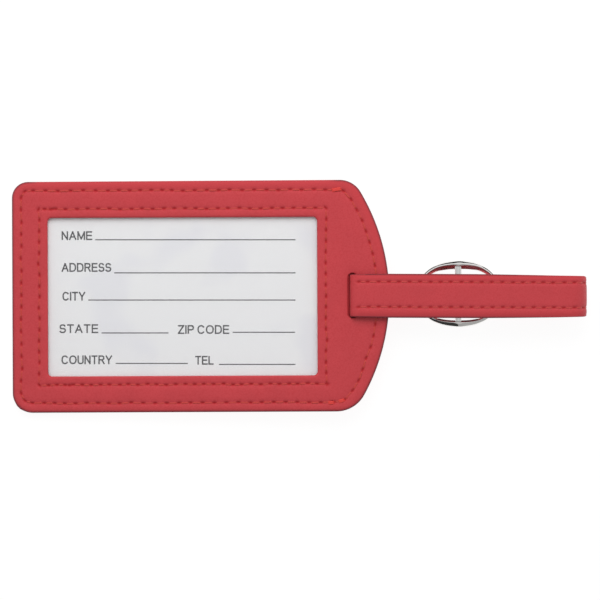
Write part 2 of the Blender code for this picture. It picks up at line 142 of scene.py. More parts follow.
TAIL_TIP = 158.3 * MM
HOLE_SPACING = 9.0 * MM
HOLE_RADIUS = 0.95 * MM
OUTER_ROW_INSET = 2.8 * MM
NECK_ROW_INSET = 3.7 * MM
WINDOW_ROW_INSET = 2.65 * MM
STRAP_ROWS = {"far": 4.15 * MM, "near": -3.45 * MM}
STRAP_PITCH = 3.14 * MM
SEWN_FROM = 3.2 * MM

# The thread, the holes that it goes down and the swell of the leatherette beside it.
THREAD_RADIUS = 0.21 * MM
THREAD_FLATNESS = 0.6
THREAD_BREADTH = 1.3
THREAD_DIVE = 0.8 * MM
THREAD_TWIST = 1.3 * MM
THREAD_SIDES = 8
STITCH_STEPS = 12
STITCH_SKEW = 0.05 * MM
SEAM_RISE = 0.02 * MM
TACK_RISE = 0.18 * MM
PIT_LENGTH = 0.72 * MM
PIT_WIDTH = 0.34 * MM
PIT_DEPTH = 0.34 * MM
TACK_SPACING = 0.26 * MM
# The middle of each lump of back-tacked thread, the way that it runs and its length.
OUTER_TACKS = (((98.4 * MM, 32.3 * MM), (0.99, 0.14), 4.0 * MM),
               ((96.45 * MM, -32.3 * MM), (1.0, 0.0), 3.0 * MM),
               ((99.6 * MM, -31.75 * MM), (0.97, 0.24), 3.0 * MM))
# The outer seam's stitches change pitch along its straight sides.
OUTER_SEAM_END = 100.5 * MM
UPPER_SEAM_TURNS = (95.08 * MM, 51.87 * MM, 29.22 * MM, 6.38 * MM)
LOWER_SEAM_TURN = 32.3 * MM
# Where the window's seam starts and ends: the last hole falls short of the first.
WINDOW_SEAM_START = (13.15 * MM, 11.6 * MM)
WINDOW_SEAM_JOIN = (16.05 * MM, 18.1 * MM)
GROOVE_WIDTH = 0.6 * MM
GROOVE_DEPTH = 0.07 * MM
RIM_WIDTH = 0.5 * MM
# The middle and half length of the upper straight side, which faces the light and so takes less painted
# shade on its cut edge.
LIT_UPPER_STRETCH = (52.0 * MM, 47.0 * MM)
WINDOW_CORNER = 1.2 * MM
# How far in from a panel's edges, and out from its rows of stitches, the finer rows of points lie.
EDGE_OFFSETS = [offset * MM for offset in (0.06, 0.16, 0.32, 0.55, 0.85)]
ROW_OFFSETS = [offset * MM for offset in (0, 0.2, -0.2, 0.42, -0.42, 0.8, -0.8)]
ROW_STEP = 0.24 * MM
THIN_GRID = 3.0 * MM
SWELL_REACH = 1.1 * MM
GLOW_REACH = 2.4 * MM
PANEL_GRID = 0.75 * MM
PLAIN_GRID = 4.0 * MM
CLOSEST_POINTS = 0.15 * MM

random.seed(20)


def frame_to_world():
    """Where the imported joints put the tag: the card slides along u, the strap swings about its axis."""
    joints = {joint["name"]: joint for joint in frame["record"]["behaviour"]["joints"]}
    slide = joints["card_slide"]["axis"]
    tilt = math.atan2(-slide[2], -slide[0])
    swing = Vector(joints["strap_swing"]["pos_m"])
    return Matrix.Translation(swing) @ Matrix.Rotation(-tilt, 4, "Y") @ Matrix.Translation(-SWING_AXIS)


FRAME_TO_WORLD = frame_to_world()


# ---------------------------------------------------------------- camera, floor and light

VIEW_CENTRE = Vector((87.2, -1.15, 3.0)) * MM
VIEW_WIDTH = 181.7 * MM
LENS = 105.0
SENSOR = 36.0
CAMERA_ROLL = math.radians(-0.25)

# The studio's sky: pairs of height, from level to overhead, and brightness.
FAR_SKY = ((0.0, 0.85), (0.3, 0.95), (0.8, 0.95), (0.95, 0.78), (1.0, 0.72))
NEAR_SKY = ((0.0, 0.42), (0.4, 0.4), (0.8, 0.38), (0.95, 0.62), (1.0, 0.72))
SKY_TURN = (-0.25, 0.35)
SKY_STRENGTH = 0.94
FLOOR_REACH = 1.5
FLOOR_GREY = 0.12
FLOOR_GLOW = 0.92
# Black cards that only the metal mirrors: each one's azimuth in degrees, half width and height.
CARD_DISTANCE = 0.38
DARK_CARD_GREY = 0.02
DARK_CARDS = {"far_dark_card": (90, 0.6, 0.36), "near_dark_card": (222, 0.26, 0.34)}
KEY_PLACE = Vector((-0.03, 0.26, 0.28))
KEY_SIZE = (0.33, 0.25)
KEY_POWER = 0.68


def add_object(name, data):
    obj = bpy.data.objects.new(name, data)
    bpy.context.scene.collection.objects.link(obj)
    return obj


def add_camera():
    """Looks straight down on the tag's face."""
    data = bpy.data.cameras.new("camera")
    data.lens = LENS
    data.sensor_width = SENSOR
    data.clip_start = 0.01
    camera = add_object("camera", data)
    place = Matrix.Translation(VIEW_CENTRE + Vector((0, 0, VIEW_WIDTH * LENS / SENSOR)))
    camera.matrix_world = FRAME_TO_WORLD @ place @ Matrix.Rotation(CAMERA_ROLL, 4, "Z")
    bpy.context.scene.camera = camera


def add_screen(name, corners, grey, sockets=()):
    """A flat matt panel of the studio."""
    mesh = bpy.data.meshes.new(name)
    mesh.from_pydata(corners, [], [(0, 1, 2, 3)])
    tone = ("Base Color", (grey, grey, grey, 1))
    mesh.materials.append(new_material(name, (tone, ("Roughness", 0.9), *sockets))[0])
    screen = add_object(name, mesh)
    return screen


def add_floor():
    corners = [(x * FLOOR_REACH, y * FLOOR_REACH, 0) for x, y in ((-1, -1), (1, -1), (1, 1), (-1, 1))]
    glow = (("Emission Color", (1, 1, 1, 1)), ("Emission Strength", FLOOR_GLOW))
    add_screen("floor", corners, FLOOR_GREY, (("Specular IOR Level", 0.1), *glow))


def add_dark_cards():
    """Stand beside the buckle and draw its rails' shape."""
    buckle = FRAME_TO_WORLD @ Vector((BAR_AXIS[0], 0, 0))
    for name, (azimuth, width, height) in DARK_CARDS.items():
        places = ((-width, 0), (width, 0), (width, height), (-width, height))
        card = add_screen(name, [(CARD_DISTANCE, y, z) for y, z in places], DARK_CARD_GREY)
        card.location = (buckle.x, buckle.y, 0)
        card.rotation_euler.z = math.radians(azimuth)
        card.visible_camera = False
        card.visible_diffuse = False
        card.visible_shadow = False


def add_key():
    """A soft light that gives shading and shadows. What the metal mirrors is the world and the cards."""
    data = bpy.data.lights.new("key", "AREA")
    data.shape = "RECTANGLE"
    data.size, data.size_y = KEY_SIZE
    data.energy = KEY_POWER
    light = add_object("key", data)
    light.location = KEY_PLACE
    light.rotation_euler = (-KEY_PLACE).to_track_quat("-Z", "Y").to_euler()
    light.visible_glossy = False


def add_world():
    """A bright soft sky on the far side, a duller one on the near side, and grey overhead."""
    world = bpy.data.worlds.new("studio")
    world.use_nodes = True
    bpy.context.scene.world = world
    split = add_node(world, "ShaderNodeSeparateXYZ")
    link(world, add_node(world, "ShaderNodeTexCoord").outputs["Generated"], split.inputs[0])
    skies = []
    for stops in (NEAR_SKY, FAR_SKY):
        ramp = add_node(world, "ShaderNodeValToRGB")
        link(world, split.outputs["Z"], ramp.inputs["Fac"])
        elements = ramp.color_ramp.elements
        while len(elements) < len(stops):
            elements.new(0.5)
        for element, (position, grey) in zip(elements, stops):
            element.position = position
            element.color = (grey, grey, grey, 1)
        skies.append(ramp.outputs["Color"])
    toward_far = add_ramp(world, split.outputs["Y"], *SKY_TURN, 0, 1)
    background = world.node_tree.nodes["Background"]
    link(world, add_mix(world, toward_far, *skies), background.inputs["Color"])
    background.inputs["Strength"].default_value = SKY_STRENGTH


# ---------------------------------------------------------------- materials

def new_material(name, sockets=()):
    """A material and its shader, with plain values set on some of the shader's sockets."""
    material = bpy.data.materials.new(name)
    material.use_nodes = True
    shader = material.node_tree.nodes["Principled BSDF"]
    for socket, value in sockets:
        shader.inputs[socket].default_value = value
    return material, shader


def add_node(material, kind, **settings):
    node = material.node_tree.nodes.new(kind)
    for key, value in settings.items():
        setattr(node, key, value)
    return node


def link(material, source, target):
    material.node_tree.links.new(source, target)


def grain_coordinates(material, attribute):
    """Where a point lies on its flat sheet, or in the object for a piece with no such attribute."""
    if attribute:
        return add_node(material, "ShaderNodeAttribute", attribute_name=attribute).outputs["Vector"]
    return add_node(material, "ShaderNodeTexCoord").outputs["Object"]


def add_noise(material, where, scale, detail=3.0, roughness=0.55):
    texture = add_node(material, "ShaderNodeTexNoise")
    texture.inputs["Scale"].default_value = scale
    texture.inputs["Detail"].default_value = detail
    texture.inputs["Roughness"].default_value = roughness
    link(material, where, texture.inputs["Vector"])
    return texture.outputs["Fac"]


def add_ramp(material, source, low, high, low_value, high_value):
    """Maps a span of a value onto another."""
    remap = add_node(material, "ShaderNodeMapRange")
    spans = zip(("From Min", "From Max", "To Min", "To Max"), (low, high, low_value, high_value))
    for key, value in spans:
        remap.inputs[key].default_value = value
    link(material, source, remap.inputs["Value"])
    return remap.outputs["Result"]


def add_mix(material, amount, first, second):
    """Mixes two colours. Each is a colour or a socket, and the amount a number or a socket."""
    mix = add_node(material, "ShaderNodeMix", data_type="RGBA")
    for value, socket in ((amount, mix.inputs[0]), (first, mix.inputs[6]), (second, mix.inputs[7])):
        if isinstance(value, bpy.types.NodeSocket):
            link(material, value, socket)
        elif socket is mix.inputs[0]:
            socket.default_value = value
        else:
            socket.default_value = (*value, 1)
    return mix.outputs[2]


def add_bump(material, shader, layers):
    """Stacks bump layers of (height, depth in metres, strength) onto the shader's normal."""
    normal = None
    for height, depth, strength in layers:
        bump = add_node(material, "ShaderNodeBump")
        bump.inputs["Distance"].default_value = depth
        bump.inputs["Strength"].default_value = strength
        link(material, height, bump.inputs["Height"])
        if normal:
            link(material, normal, bump.inputs["Normal"])
        normal = bump.outputs["Normal"]
    link(material, normal, shader.inputs["Normal"])


LEATHER_RED = (0.579, 0.053, 0.064)
# A paler red, painted along the leatherette's edges as a highlight.
LEATHER_PAINTED_HIGHLIGHT = (0.60, 0.047, 0.057)
# A deep red for the pebble grain's valleys, and for the shade painted in the stitch holes.
LEATHER_DEEP = (0.40, 0.003, 0.006)
# The dark cut edge's colour, which also paints the shade where the edge turns away from the light.
LEATHER_CUT_EDGE_AND_SHADE = (0.085, 0.012, 0.020)


def leatherette(name, attribute="", base=LEATHER_RED, bright=LEATHER_PAINTED_HIGHLIGHT):
    """Coated leatherette: a fine pebbled grain with its own gloss, paler along its edges with a painted
    highlight, painted shade in its stitch holes, and its dark cut edge with painted shade on it.
    """
    sockets = (("Specular IOR Level", 0.35), ("Sheen Weight", 0.05), ("Sheen Roughness", 0.5))
    material, shader = new_material(name, sockets)
    where = grain_coordinates(material, attribute)
    pebble = add_node(material, "ShaderNodeTexVoronoi", feature="SMOOTH_F1")
    pebble.inputs["Scale"].default_value = 2300
    pebble.inputs["Smoothness"].default_value = 0.6
    link(material, where, pebble.inputs["Vector"])
    fine = add_noise(material, where, 5200, 2)
    broad = add_noise(material, where, 130, 4, 0.6)
    cloudy = add_ramp(material, broad, 0.3, 0.7, 0.0, 1.0)
    mottle_and_edge_shade, fresh = (tuple(min(channel * share, 1) for channel in base) for share in (0.96, 1.03))
    colour = add_mix(material, cloudy, mottle_and_edge_shade, fresh)
    valley = add_ramp(material, pebble.outputs["Distance"], 0.35, 0.75, 0.0, 0.16)
    colour = add_mix(material, valley, colour, LEATHER_DEEP)
    # The masks paint a highlight along the edges, shade in the stitch holes, and the dark cut edge with
    # shade on it.
    masks = (("edge", 0, 1, 0.75, bright), ("pit_shade", 0.05, 0.8, 0.8, LEATHER_DEEP),
             ("rim", 0, 1, 0.85, LEATHER_CUT_EDGE_AND_SHADE))
    for mask, low, high, most, tone in masks if attribute else ():
        amount = add_node(material, "ShaderNodeAttribute", attribute_name=mask).outputs["Fac"]
        colour = add_mix(material, add_ramp(material, amount, low, high, 0, most), colour, tone)
    link(material, colour, shader.inputs["Base Color"])
    link(material, add_ramp(material, fine, 0.25, 0.75, 0.50, 0.66), shader.inputs["Roughness"])
    add_bump(material, shader, ((pebble.outputs["Distance"], 0.06 * MM, 0.35),
                                (fine, 0.02 * MM, 0.3), (broad, 0.6 * MM, 0.12)))
    return material


def speckled(name, grain, first, second, gloss, relief=None, sockets=()):
    """A material whose grain mixes two colours, varies its roughness and stands in slight relief."""
    material, shader = new_material(name, sockets)
    speck = add_noise(material, grain_coordinates(material, ""), *grain)
    colour = add_mix(material, speck, first, second)
    link(material, colour, shader.inputs["Base Color"])
    link(material, add_ramp(material, speck, *gloss), shader.inputs["Roughness"])
    if relief:
        add_bump(material, shader, ((speck, *relief),))
    return material, shader, colour


def thread_material(name, base):
    """Glossy twisted polyester thread, whose two strands are in the mesh."""
    dull = tuple(channel * 0.8 for channel in base)
    gloss = (0.2, 0.8, 0.38, 0.55)
    return speckled(name, (9000, 2), dull, base, gloss, (0.03 * MM, 0.4), (("Sheen Weight", 0.1),))[0]


def chrome_material(name, base, roughness):
    """Nickel plating with fine rub marks in its gloss."""
    dull = tuple(channel * 0.94 for channel in base)
    gloss = (0.3, 0.8, roughness * 0.6, roughness * 1.8)
    return speckled(name, (700, 5, 0.7), dull, base, gloss, (0.02 * MM, 0.05), (("Metallic", 1.0),))[0]


def card_material():
    """Smooth white card with a slight fibre, and greyer patches painted on it that stand in for the clear
    sheet's reflection where it clings to it.
    """
    whites = ((0.86, 0.86, 0.865), (0.90, 0.90, 0.90))
    gloss = (0.3, 0.7, 0.5, 0.65)
    material, shader, white = speckled("card_stock", (2600, 4), *whites, gloss, (0.01 * MM, 0.25))
    cloud = add_noise(material, grain_coordinates(material, ""), 42, 2, 0.5)
    # Painted patches of the clear sheet's reflection.
    sheet_reflection_patch = add_ramp(material, cloud, 0.54, 0.62, 0.0, 0.6)
    link(material, add_mix(material, sheet_reflection_patch, white, (0.80, 0.80, 0.84)), shader.inputs["Base Color"])
    return material


def ink_material():
    blacks = ((0.015, 0.015, 0.017), (0.04, 0.04, 0.042))
    return speckled("printed_ink", (5000, 2), *blacks, (0.3, 0.7, 0.5, 0.7), (0.005 * MM, 0.2))[0]


def board_material():
    greys = ((0.22, 0.2, 0.17), (0.42, 0.39, 0.33))
    return speckled("greyboard", (1800, 5, 0.7), *greys, (0.3, 0.7, 0.8, 0.95), (0.03 * MM, 0.5))[0]


def vinyl_material():
    """Clear soft vinyl: mostly see-through, with a faint haze and soft ripples in its gloss."""
    tints = ((0.84, 0.85, 0.9), (0.9, 0.9, 0.93))
    sockets = (("Alpha", 0.07), ("IOR", 1.5))
    gloss = (0.3, 0.7, 0.10, 0.22)
    material, shader, _ = speckled("clear_vinyl_sheet", (1500, 3), *tints, gloss, sockets=sockets)
    ripple = add_noise(material, grain_coordinates(material, ""), 60, 3)
    add_bump(material, shader, ((ripple, 0.5 * MM, 0.25),))
    return material


# ---------------------------------------------------------------- outlines

def arc(centre, radius, start, end, steps):
    """Points from one angle to another, in degrees, both ends included."""
    angles = [math.radians(start + (end - start) * step / steps) for step in range(steps + 1)]
    return [(centre[0] + radius * math.cos(a), centre[1] + radius * math.sin(a)) for a in angles]


def rounded_rectangle(left, right, low, high, radius, steps=10):
    """Anticlockwise from the lower right corner."""
    corners = ((right - radius, low + radius, -90), (right - radius, high - radius, 0),
               (left + radius, high - radius, 90), (left + radius, low + radius, 180))
    points = []
    for u, y, start in corners:
        points += arc((u, y), radius, start, start + 90, steps)
    return points


def easing(start, end, steps=24):
    """An S between two points, level at both ends, which it includes."""
    points = []
    for step in range(steps + 1):
        part = step / steps
        rise = part * part * (3 - 2 * part)
        points.append((start[0] + (end[0] - start[0]) * part, start[1] + (end[1] - start[1]) * rise))
    return points


def shoulder(side, inset, neck_inset):
    """A shoulder's centre, radius and turn in degrees: the upper for side 1, the lower for side -1."""
    half_width = TAG_HALF_WIDTH - inset + (UPPER_FLARE if side > 0 else 0)
    radius = (UPPER_SHOULDER_RADIUS if side > 0 else LOWER_SHOULDER_RADIUS) - inset
    rise = half_width - radius
    reach = math.sqrt((NECK_RADIUS - neck_inset - radius) ** 2 - rise ** 2)
    return (NECK_CENTRE + reach, side * rise), radius, math.degrees(math.atan2(rise, reach))


def neck_outline(inset=0.0, neck_inset=0.0):
    """The right end, anticlockwise: the lower shoulder, the neck's long arc and the upper shoulder."""
    low_centre, low_radius, low_turn = shoulder(-1, inset, neck_inset)
    high_centre, high_radius, high_turn = shoulder(1, inset, neck_inset)
    points = arc(low_centre, low_radius, -90, -low_turn, 16)
    points += arc((NECK_CENTRE, 0), NECK_RADIUS - neck_inset, -low_turn, high_turn, 90)[1:-1]
    points += arc(high_centre, high_radius, high_turn, 90, 16)
    return points


def left_corner(side, inset=0.0):
    """A corner of the left end, upper for side 1 and lower for side -1, run anticlockwise."""
    radius = (UPPER_CORNER_RADIUS if side > 0 else LOWER_CORNER_RADIUS) - inset
    centre = (inset + radius, side * (TAG_HALF_WIDTH - inset - radius))
    start = 90 if side > 0 else 180
    return arc(centre, radius, start, start + 90, 14)


def tag_outline():
    return neck_outline() + left_corner(1) + left_corner(-1)


def slot_outline(left=SLOT_LEFT, clearance=SLOT_CLEARANCE, corner=WINDOW_CORNER):
    half = STRAP_WIDTH / 2 + clearance
    return rounded_rectangle(left, SLOT_RIGHT, STRAP_Y - half, STRAP_Y + half, corner)


def window_outline():
    half = WINDOW_HALF_WIDTH
    return rounded_rectangle(WINDOW_LEFT, WINDOW_RIGHT, -half, half, WINDOW_CORNER)


def back_outline():
    """The back panel, with the thumb notch in its left edge."""
    points = [(BACK_PANEL_RIGHT, -TAG_HALF_WIDTH), (BACK_PANEL_RIGHT, TAG_HALF_WIDTH)]
    points += left_corner(1)
    points += arc((0, 0), THUMB_NOTCH_RADIUS, 83, -83, 40)
    points += left_corner(-1)
    return points


def facing_outline():
    return neck_outline() + [(FACING_LEFT, TAG_HALF_WIDTH), (FACING_LEFT, -TAG_HALF_WIDTH)]


def resampled(points, step, closed=True):
    """Evenly spaced points along a line, about a step apart, as an array."""
    line = np.array(points + points[:1] if closed else points)
    run = np.concatenate([[0], np.cumsum(np.hypot(*np.diff(line, axis=0).T))])
    keep = np.concatenate([[True], np.diff(run) > 1e-9])
    line, run = line[keep], run[keep]
    count = max(int(round(run[-1] / step)), 2)
    places = np.linspace(0, run[-1], count + 1)
    if closed:
        places = places[:-1]
    return np.column_stack([np.interp(places, run, line[:, 0]), np.interp(places, run, line[:, 1])])


def left_normals(line, closed=True):
    """The unit direction to the left of travel at each point."""
    if closed:
        ahead = np.roll(line, -1, 0) - np.roll(line, 1, 0)
    else:
        ahead = np.gradient(line, axis=0)
    ahead /= np.linalg.norm(ahead, axis=1)[:, None]
    return np.column_stack([-ahead[:, 1], ahead[:, 0]])


def distance_to(points, line, closed=True):
    """How far each point is from a line made of straight stretches."""
    start = line if closed else line[:-1]
    along = (np.roll(line, -1, 0) - line) if closed else np.diff(line, axis=0)
    length = (along ** 2).sum(1)
    nearest = np.full(len(points), np.inf)
    for first in range(0, len(points), 4000):
        part = points[first:first + 4000, None, :] - start[None, :, :]
        reach = np.clip((part * along).sum(2) / length, 0, 1)
        away = part - reach[:, :, None] * along
        nearest[first:first + 4000] = np.sqrt((away ** 2).sum(2).min(1))
    return nearest


def is_inside(points, line):
    """True for each point inside a closed line."""
    after = np.roll(line, -1, 0)
    inside = np.zeros(len(points), bool)
    for (x0, y0), (x1, y1) in zip(line, after):
        crosses = (y0 > points[:, 1]) != (y1 > points[:, 1])
        at = x0 + (points[:, 1] - y0) / (y1 - y0 if y1 != y0 else 1) * (x1 - x0)
        inside ^= crosses & (points[:, 0] < at)
    return inside


# ---------------------------------------------------------------- stitch rows

def wander(count, along, across):
    """How far out of line each of a row's holes is."""
    return np.array([(random.gauss(0, along), random.gauss(0, across)) for _ in range(count)]) * MM


def joined_rows(runs):
    """One row of holes from lines that share their ends, each line with its pitch in millimetres."""
    holes = []
    for points, pitch in runs:
        holes += list(resampled(points, pitch * MM, closed=False)[1 if holes else 0:])
    return np.array(holes) + wander(len(holes), 0.1, 0.08)


def outer_row():
    """The seam round the tag, with the pitch that each side shows."""
    inset = OUTER_ROW_INSET
    neck = [point for point in neck_outline(inset, NECK_ROW_INSET)
            if point[1] < 0 or point[0] > OUTER_SEAM_END]
    upper = left_corner(1, inset)
    lower = left_corner(-1, inset)
    turns = [(u, upper[0][1]) for u in UPPER_SEAM_TURNS]
    change = (LOWER_SEAM_TURN, neck[0][1])
    return joined_rows([(neck, 3.5), ([neck[-1], turns[0]], 6.0), (turns[0:2], 3.6), (turns[1:3], 3.24),
                        (turns[2:4], 3.8), (turns[3:] + upper, 2.4), ([upper[-1], lower[0]], 3.68),
                        (lower, 2.8), ([lower[-1], change], 3.25), ([change, neck[0]], 3.66)])


def window_row():
    """The seam round the window, square at its corners."""
    left, right = WINDOW_LEFT - WINDOW_ROW_INSET, WINDOW_RIGHT + WINDOW_ROW_INSET
    half = WINDOW_HALF_WIDTH + WINDOW_ROW_INSET
    turns = [(right, -half), (right, half)] + [(u, half) for u in WINDOW_SEAM_START]
    turns += [(left, half), (left, -half)] + [(u, -half) for u in WINDOW_SEAM_JOIN] + [(right, -half)]
    pitches = (3.25, 3.25, 3.0, 3.45, 3.42, 2.7, 2.7, 2.9)
    return joined_rows(zip(zip(turns, turns[1:]), pitches))


def back_tacks():
    """The lumps of thread where the outer seam starts and ends: short stitches side by side."""
    tacks = []
    for (u, y), (along_u, along_y), length in OUTER_TACKS:
        along = np.array((along_u, along_y)) * length / 2
        sideways = np.array((-along_y, along_u)) * TACK_SPACING
        for index in (-1, 0, 1):
            middle = np.array((u, y)) + sideways * index
            tacks.append(np.array([middle - along, middle + along]))
    return tacks


def swell_and_pits(points, rows):
    """Depth below the plain surface at points of a sheet, and a mask from 0 to 1 of the stitch holes, which
    paints shade in them.
    """
    depth = np.zeros(len(points))
    mask = np.zeros(len(points))
    for holes in rows:
        off = distance_to(points, holes, closed=False)
        near = off < 3 * GROOVE_WIDTH
        depth[near] += GROOVE_DEPTH * np.exp(-(off[near] / GROOVE_WIDTH) ** 2)
        travel = np.gradient(holes, axis=0)
        travel /= np.linalg.norm(travel, axis=1)[:, None]
        around = points[near]
        pit_shade = np.zeros(len(around))
        for hole, along in zip(holes, travel):
            gap = around - hole
            lengthways = gap @ along
            sideways = gap @ np.array((-along[1], along[0]))
            pit_shade = np.maximum(pit_shade, np.exp(-(lengthways / PIT_LENGTH) ** 2 - (sideways / PIT_WIDTH) ** 2))
        depth[near] += PIT_DEPTH * pit_shade
        mask[near] = np.maximum(mask[near], pit_shade)
    return depth, mask


# ---------------------------------------------------------------- meshes

def place_piece(name, mesh, material, body, stands_for=()):
    """A finished piece from a mesh drawn in the tag's frame."""
    mesh.name = name
    mesh.transform(FRAME_TO_WORLD)
    mesh.materials.clear()
    mesh.materials.append(material)
    obj = add_object(name, mesh)
    if body == "strap":
        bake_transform(obj)
    else:
        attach(obj, body)
    if stands_for:
        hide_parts(*stands_for)


def mesh_from(points, faces, attributes=None):
    """A smooth-shaded mesh, with any point attributes: numbers, or places on the flat sheet."""
    mesh = bpy.data.meshes.new("mesh")
    mesh.from_pydata([tuple(point) for point in points], [], faces)
    for name, values in (attributes or {}).items():
        if values.ndim == 1:
            mesh.attributes.new(name, "FLOAT", "POINT").data.foreach_set("value", values)
        else:
            mesh.attributes.new(name, "FLOAT_VECTOR", "POINT").data.foreach_set("vector", values.ravel())
    mesh.shade_smooth()
    return mesh


def merged(meshes, weld=False):
    """Meshes put together in one, and joined along the edges that they share if they are to be welded."""
    shape = bmesh.new()
    for mesh in meshes:
        shape.from_mesh(mesh)
        bpy.data.meshes.remove(mesh)
    if weld:
        bmesh.ops.remove_doubles(shape, verts=shape.verts, dist=1e-6)
    whole = bpy.data.meshes.new("whole")
    shape.to_mesh(whole)
    shape.free()
    return whole


def swept(rings, closed, attributes=None):
    """A mesh through rings of points, closed on itself or with its ends capped."""
    sides = len(rings[0])
    count = len(rings)
    faces = []
    for index in range(count if closed else count - 1):
        a, b = index * sides, (index + 1) % count * sides
        for side in range(sides):
            following = (side + 1) % sides
            faces.append((a + side, b + side, b + following, a + following))
    if not closed:
        faces.append(list(range(sides)))
        faces.append([(count - 1) * sides + side for side in reversed(range(sides))])
    mesh = mesh_from([point for ring in rings for point in ring], faces, attributes)
    shape = bmesh.new()
    shape.from_mesh(mesh)
    bmesh.ops.recalc_face_normals(shape, faces=shape.faces)
    shape.to_mesh(mesh)
    shape.free()
    return mesh


class FlatSheet:
    """The plan of a flat panel: its edges, its holes' edges and the rows of holes sewn through it."""

    def __init__(self, outline, openings=(), rows=(), edge_step=0.45 * MM):
        self.loops = [resampled(outline, edge_step)]
        self.loops += [resampled(opening, edge_step)[::-1] for opening in openings]
        self.rows = rows

    def contains(self, points):
        inside = is_inside(points, self.loops[0])
        for loop in self.loops[1:]:
            inside &= ~is_inside(points, loop)
        return inside

    def distances(self, points):
        return [distance_to(points, loop) for loop in self.loops]

    def fill_points(self, edge_offsets, row_offsets, grid_step):
        """Points to build the surface on, from close to each edge and row to a plain grid."""
        wanted = []
        for loop in self.loops:
            inward = left_normals(loop)
            wanted += [loop + inward * offset for offset in edge_offsets]
        for holes in self.rows:
            line = resampled([tuple(hole) for hole in holes], ROW_STEP, closed=False)
            side = left_normals(line, closed=False)
            wanted += [line + side * offset for offset in row_offsets]
        low, high = self.loops[0].min(0), self.loops[0].max(0)
        lines = np.arange(low[1] + grid_step / 2, high[1], grid_step * math.sqrt(0.75))
        for index, y in enumerate(lines):
            across = np.arange(low[0] + (index % 2 + 0.6) * grid_step / 2, high[0], grid_step)
            wanted.append(np.column_stack([across, np.full(len(across), y)]))
        return wanted

    def triangulated(self, edge_offsets, row_offsets, grid_step, closest):
        """Points and triangles that fill the plan, with its edges kept whole."""
        accepted = [tuple(point) for loop in self.loops for point in loop]
        edges = []
        first = 0
        for loop in self.loops:
            count = len(loop)
            edges += [(first + i, first + (i + 1) % count) for i in range(count)]
            first += count
        cells = {(int(x // closest), int(y // closest)): [(x, y)] for x, y in accepted}
        for batch in self.fill_points(edge_offsets, row_offsets, grid_step):
            inside = self.contains(batch)
            for x, y in batch[inside]:
                column, line = int(x // closest), int(y // closest)
                near = [other for i in (-1, 0, 1) for j in (-1, 0, 1)
                        for other in cells.get((column + i, line + j), ())]
                if all((x - a) ** 2 + (y - b) ** 2 > closest ** 2 for a, b in near):
                    cells.setdefault((column, line), []).append((x, y))
                    accepted.append((x, y))
        scaled = [Vector((x / MM, y / MM)) for x, y in accepted]
        points, _, triangles, _, _, _ = geometry.delaunay_2d_cdt(scaled, edges, [], 0, 1e-6)
        points = np.array([tuple(point) for point in points]) * MM
        triangles = np.array(triangles)
        middles = points[triangles].mean(1)
        return points, triangles[self.contains(middles)]


def edge_curve(distances, reaches):
    """The rounding of each edge, from 0 at the edge itself to 1 at its reach."""
    curve = np.ones(len(distances[0]))
    for distance, reach in zip(distances, reaches):
        curve = np.minimum(curve, np.sqrt(1 - np.clip(1 - distance / reach, 0, 1) ** 2))
    return curve


def rim_share_by_light(points):
    """How much of the dark cut edge and the shade painted on it shows: less along the upper straight side,
    which faces the light.
    """
    to_end = LIT_UPPER_STRETCH[1] - np.abs(points[:, 0] - LIT_UPPER_STRETCH[0])
    along_side = np.clip(to_end / (3 * MM), 0, 1)
    return 1 - 0.7 * along_side * np.clip(points[:, 1] / (10 * MM), 0, 1)


def panel_face(points, triangles, height, from_edge, pit_shade=0, edge=0):
    """One face of a panel, with the masks that its material reads."""
    zeros = np.zeros(len(points))
    # The rim mask paints the dark cut edge and the shade on it.
    rim = np.exp(-(from_edge / RIM_WIDTH) ** 2) * rim_share_by_light(points)
    flat = np.column_stack([points, zeros])
    masks = {"flat_place": flat, "edge": zeros + edge, "pit_shade": zeros + pit_shade, "rim": rim}
    return mesh_from(np.column_stack([points, height]), triangles.tolist(), masks)


def relief_panel(sheet, low, high, face, reaches, undulation, swell):
    """A closed panel with its relief on one face: 1 for the upper, -1 for the lower.

    The reaches say, for the outline and then each opening, how far in from it the edge curves.
    """
    middle = (low + high) / 2
    half = (high - low) / 2
    points, triangles = sheet.triangulated(EDGE_OFFSETS, ROW_OFFSETS, PANEL_GRID, CLOSEST_POINTS)
    depth, pit_shades = swell_and_pits(points, sheet.rows)
    distances = sheet.distances(points)
    curve = edge_curve(distances, reaches)
    nearest = np.minimum.reduce(distances + [distance_to(points, row, closed=False) for row in sheet.rows])
    raised = swell * (1 - np.exp(-(nearest / SWELL_REACH) ** 2))
    raised += undulation * np.array([noise.noise(Vector((x / 9, y / 9, 4.2)) / MM) for x, y in points])
    height = middle + face * (half * curve + (raised - depth) * np.clip(curve * 1.4 - 0.4, 0, 1))
    # A painted highlight along the outline: strongest toward the far side, which faces the light, weaker at
    # the left end, none on the near side.
    lit_share = np.clip(0.5 + points[:, 1] / (60 * MM), 0, 1) * np.clip(points[:, 0] / (9 * MM), 0.1, 1)
    glow = np.exp(-(distances[0] / GLOW_REACH) ** 4) * lit_share
    detailed = panel_face(points, triangles[:, ::face], height, distances[0], pit_shades, glow)
    points, triangles = sheet.triangulated(EDGE_OFFSETS[:4:2], [], PLAIN_GRID, CLOSEST_POINTS)
    distances = sheet.distances(points)
    height = middle - face * half * edge_curve(distances, [min(reach, 0.5 * MM) for reach in reaches])
    plain = panel_face(points, triangles[:, ::-face], height, distances[0])
    return merged((detailed, plain), weld=True)


def thread_height(part, length):
    """The middle of a stitch above its sheet: level along its groove, and deep in the holes at its ends."""
    level = min(min(part, 1 - part) * length / (0.95 * MM), 1)
    dive = THREAD_DIVE * (1 - level * level * (3 - 2 * level))
    return -THREAD_RADIUS * THREAD_FLATNESS * 0.35 - GROOVE_DEPTH - dive


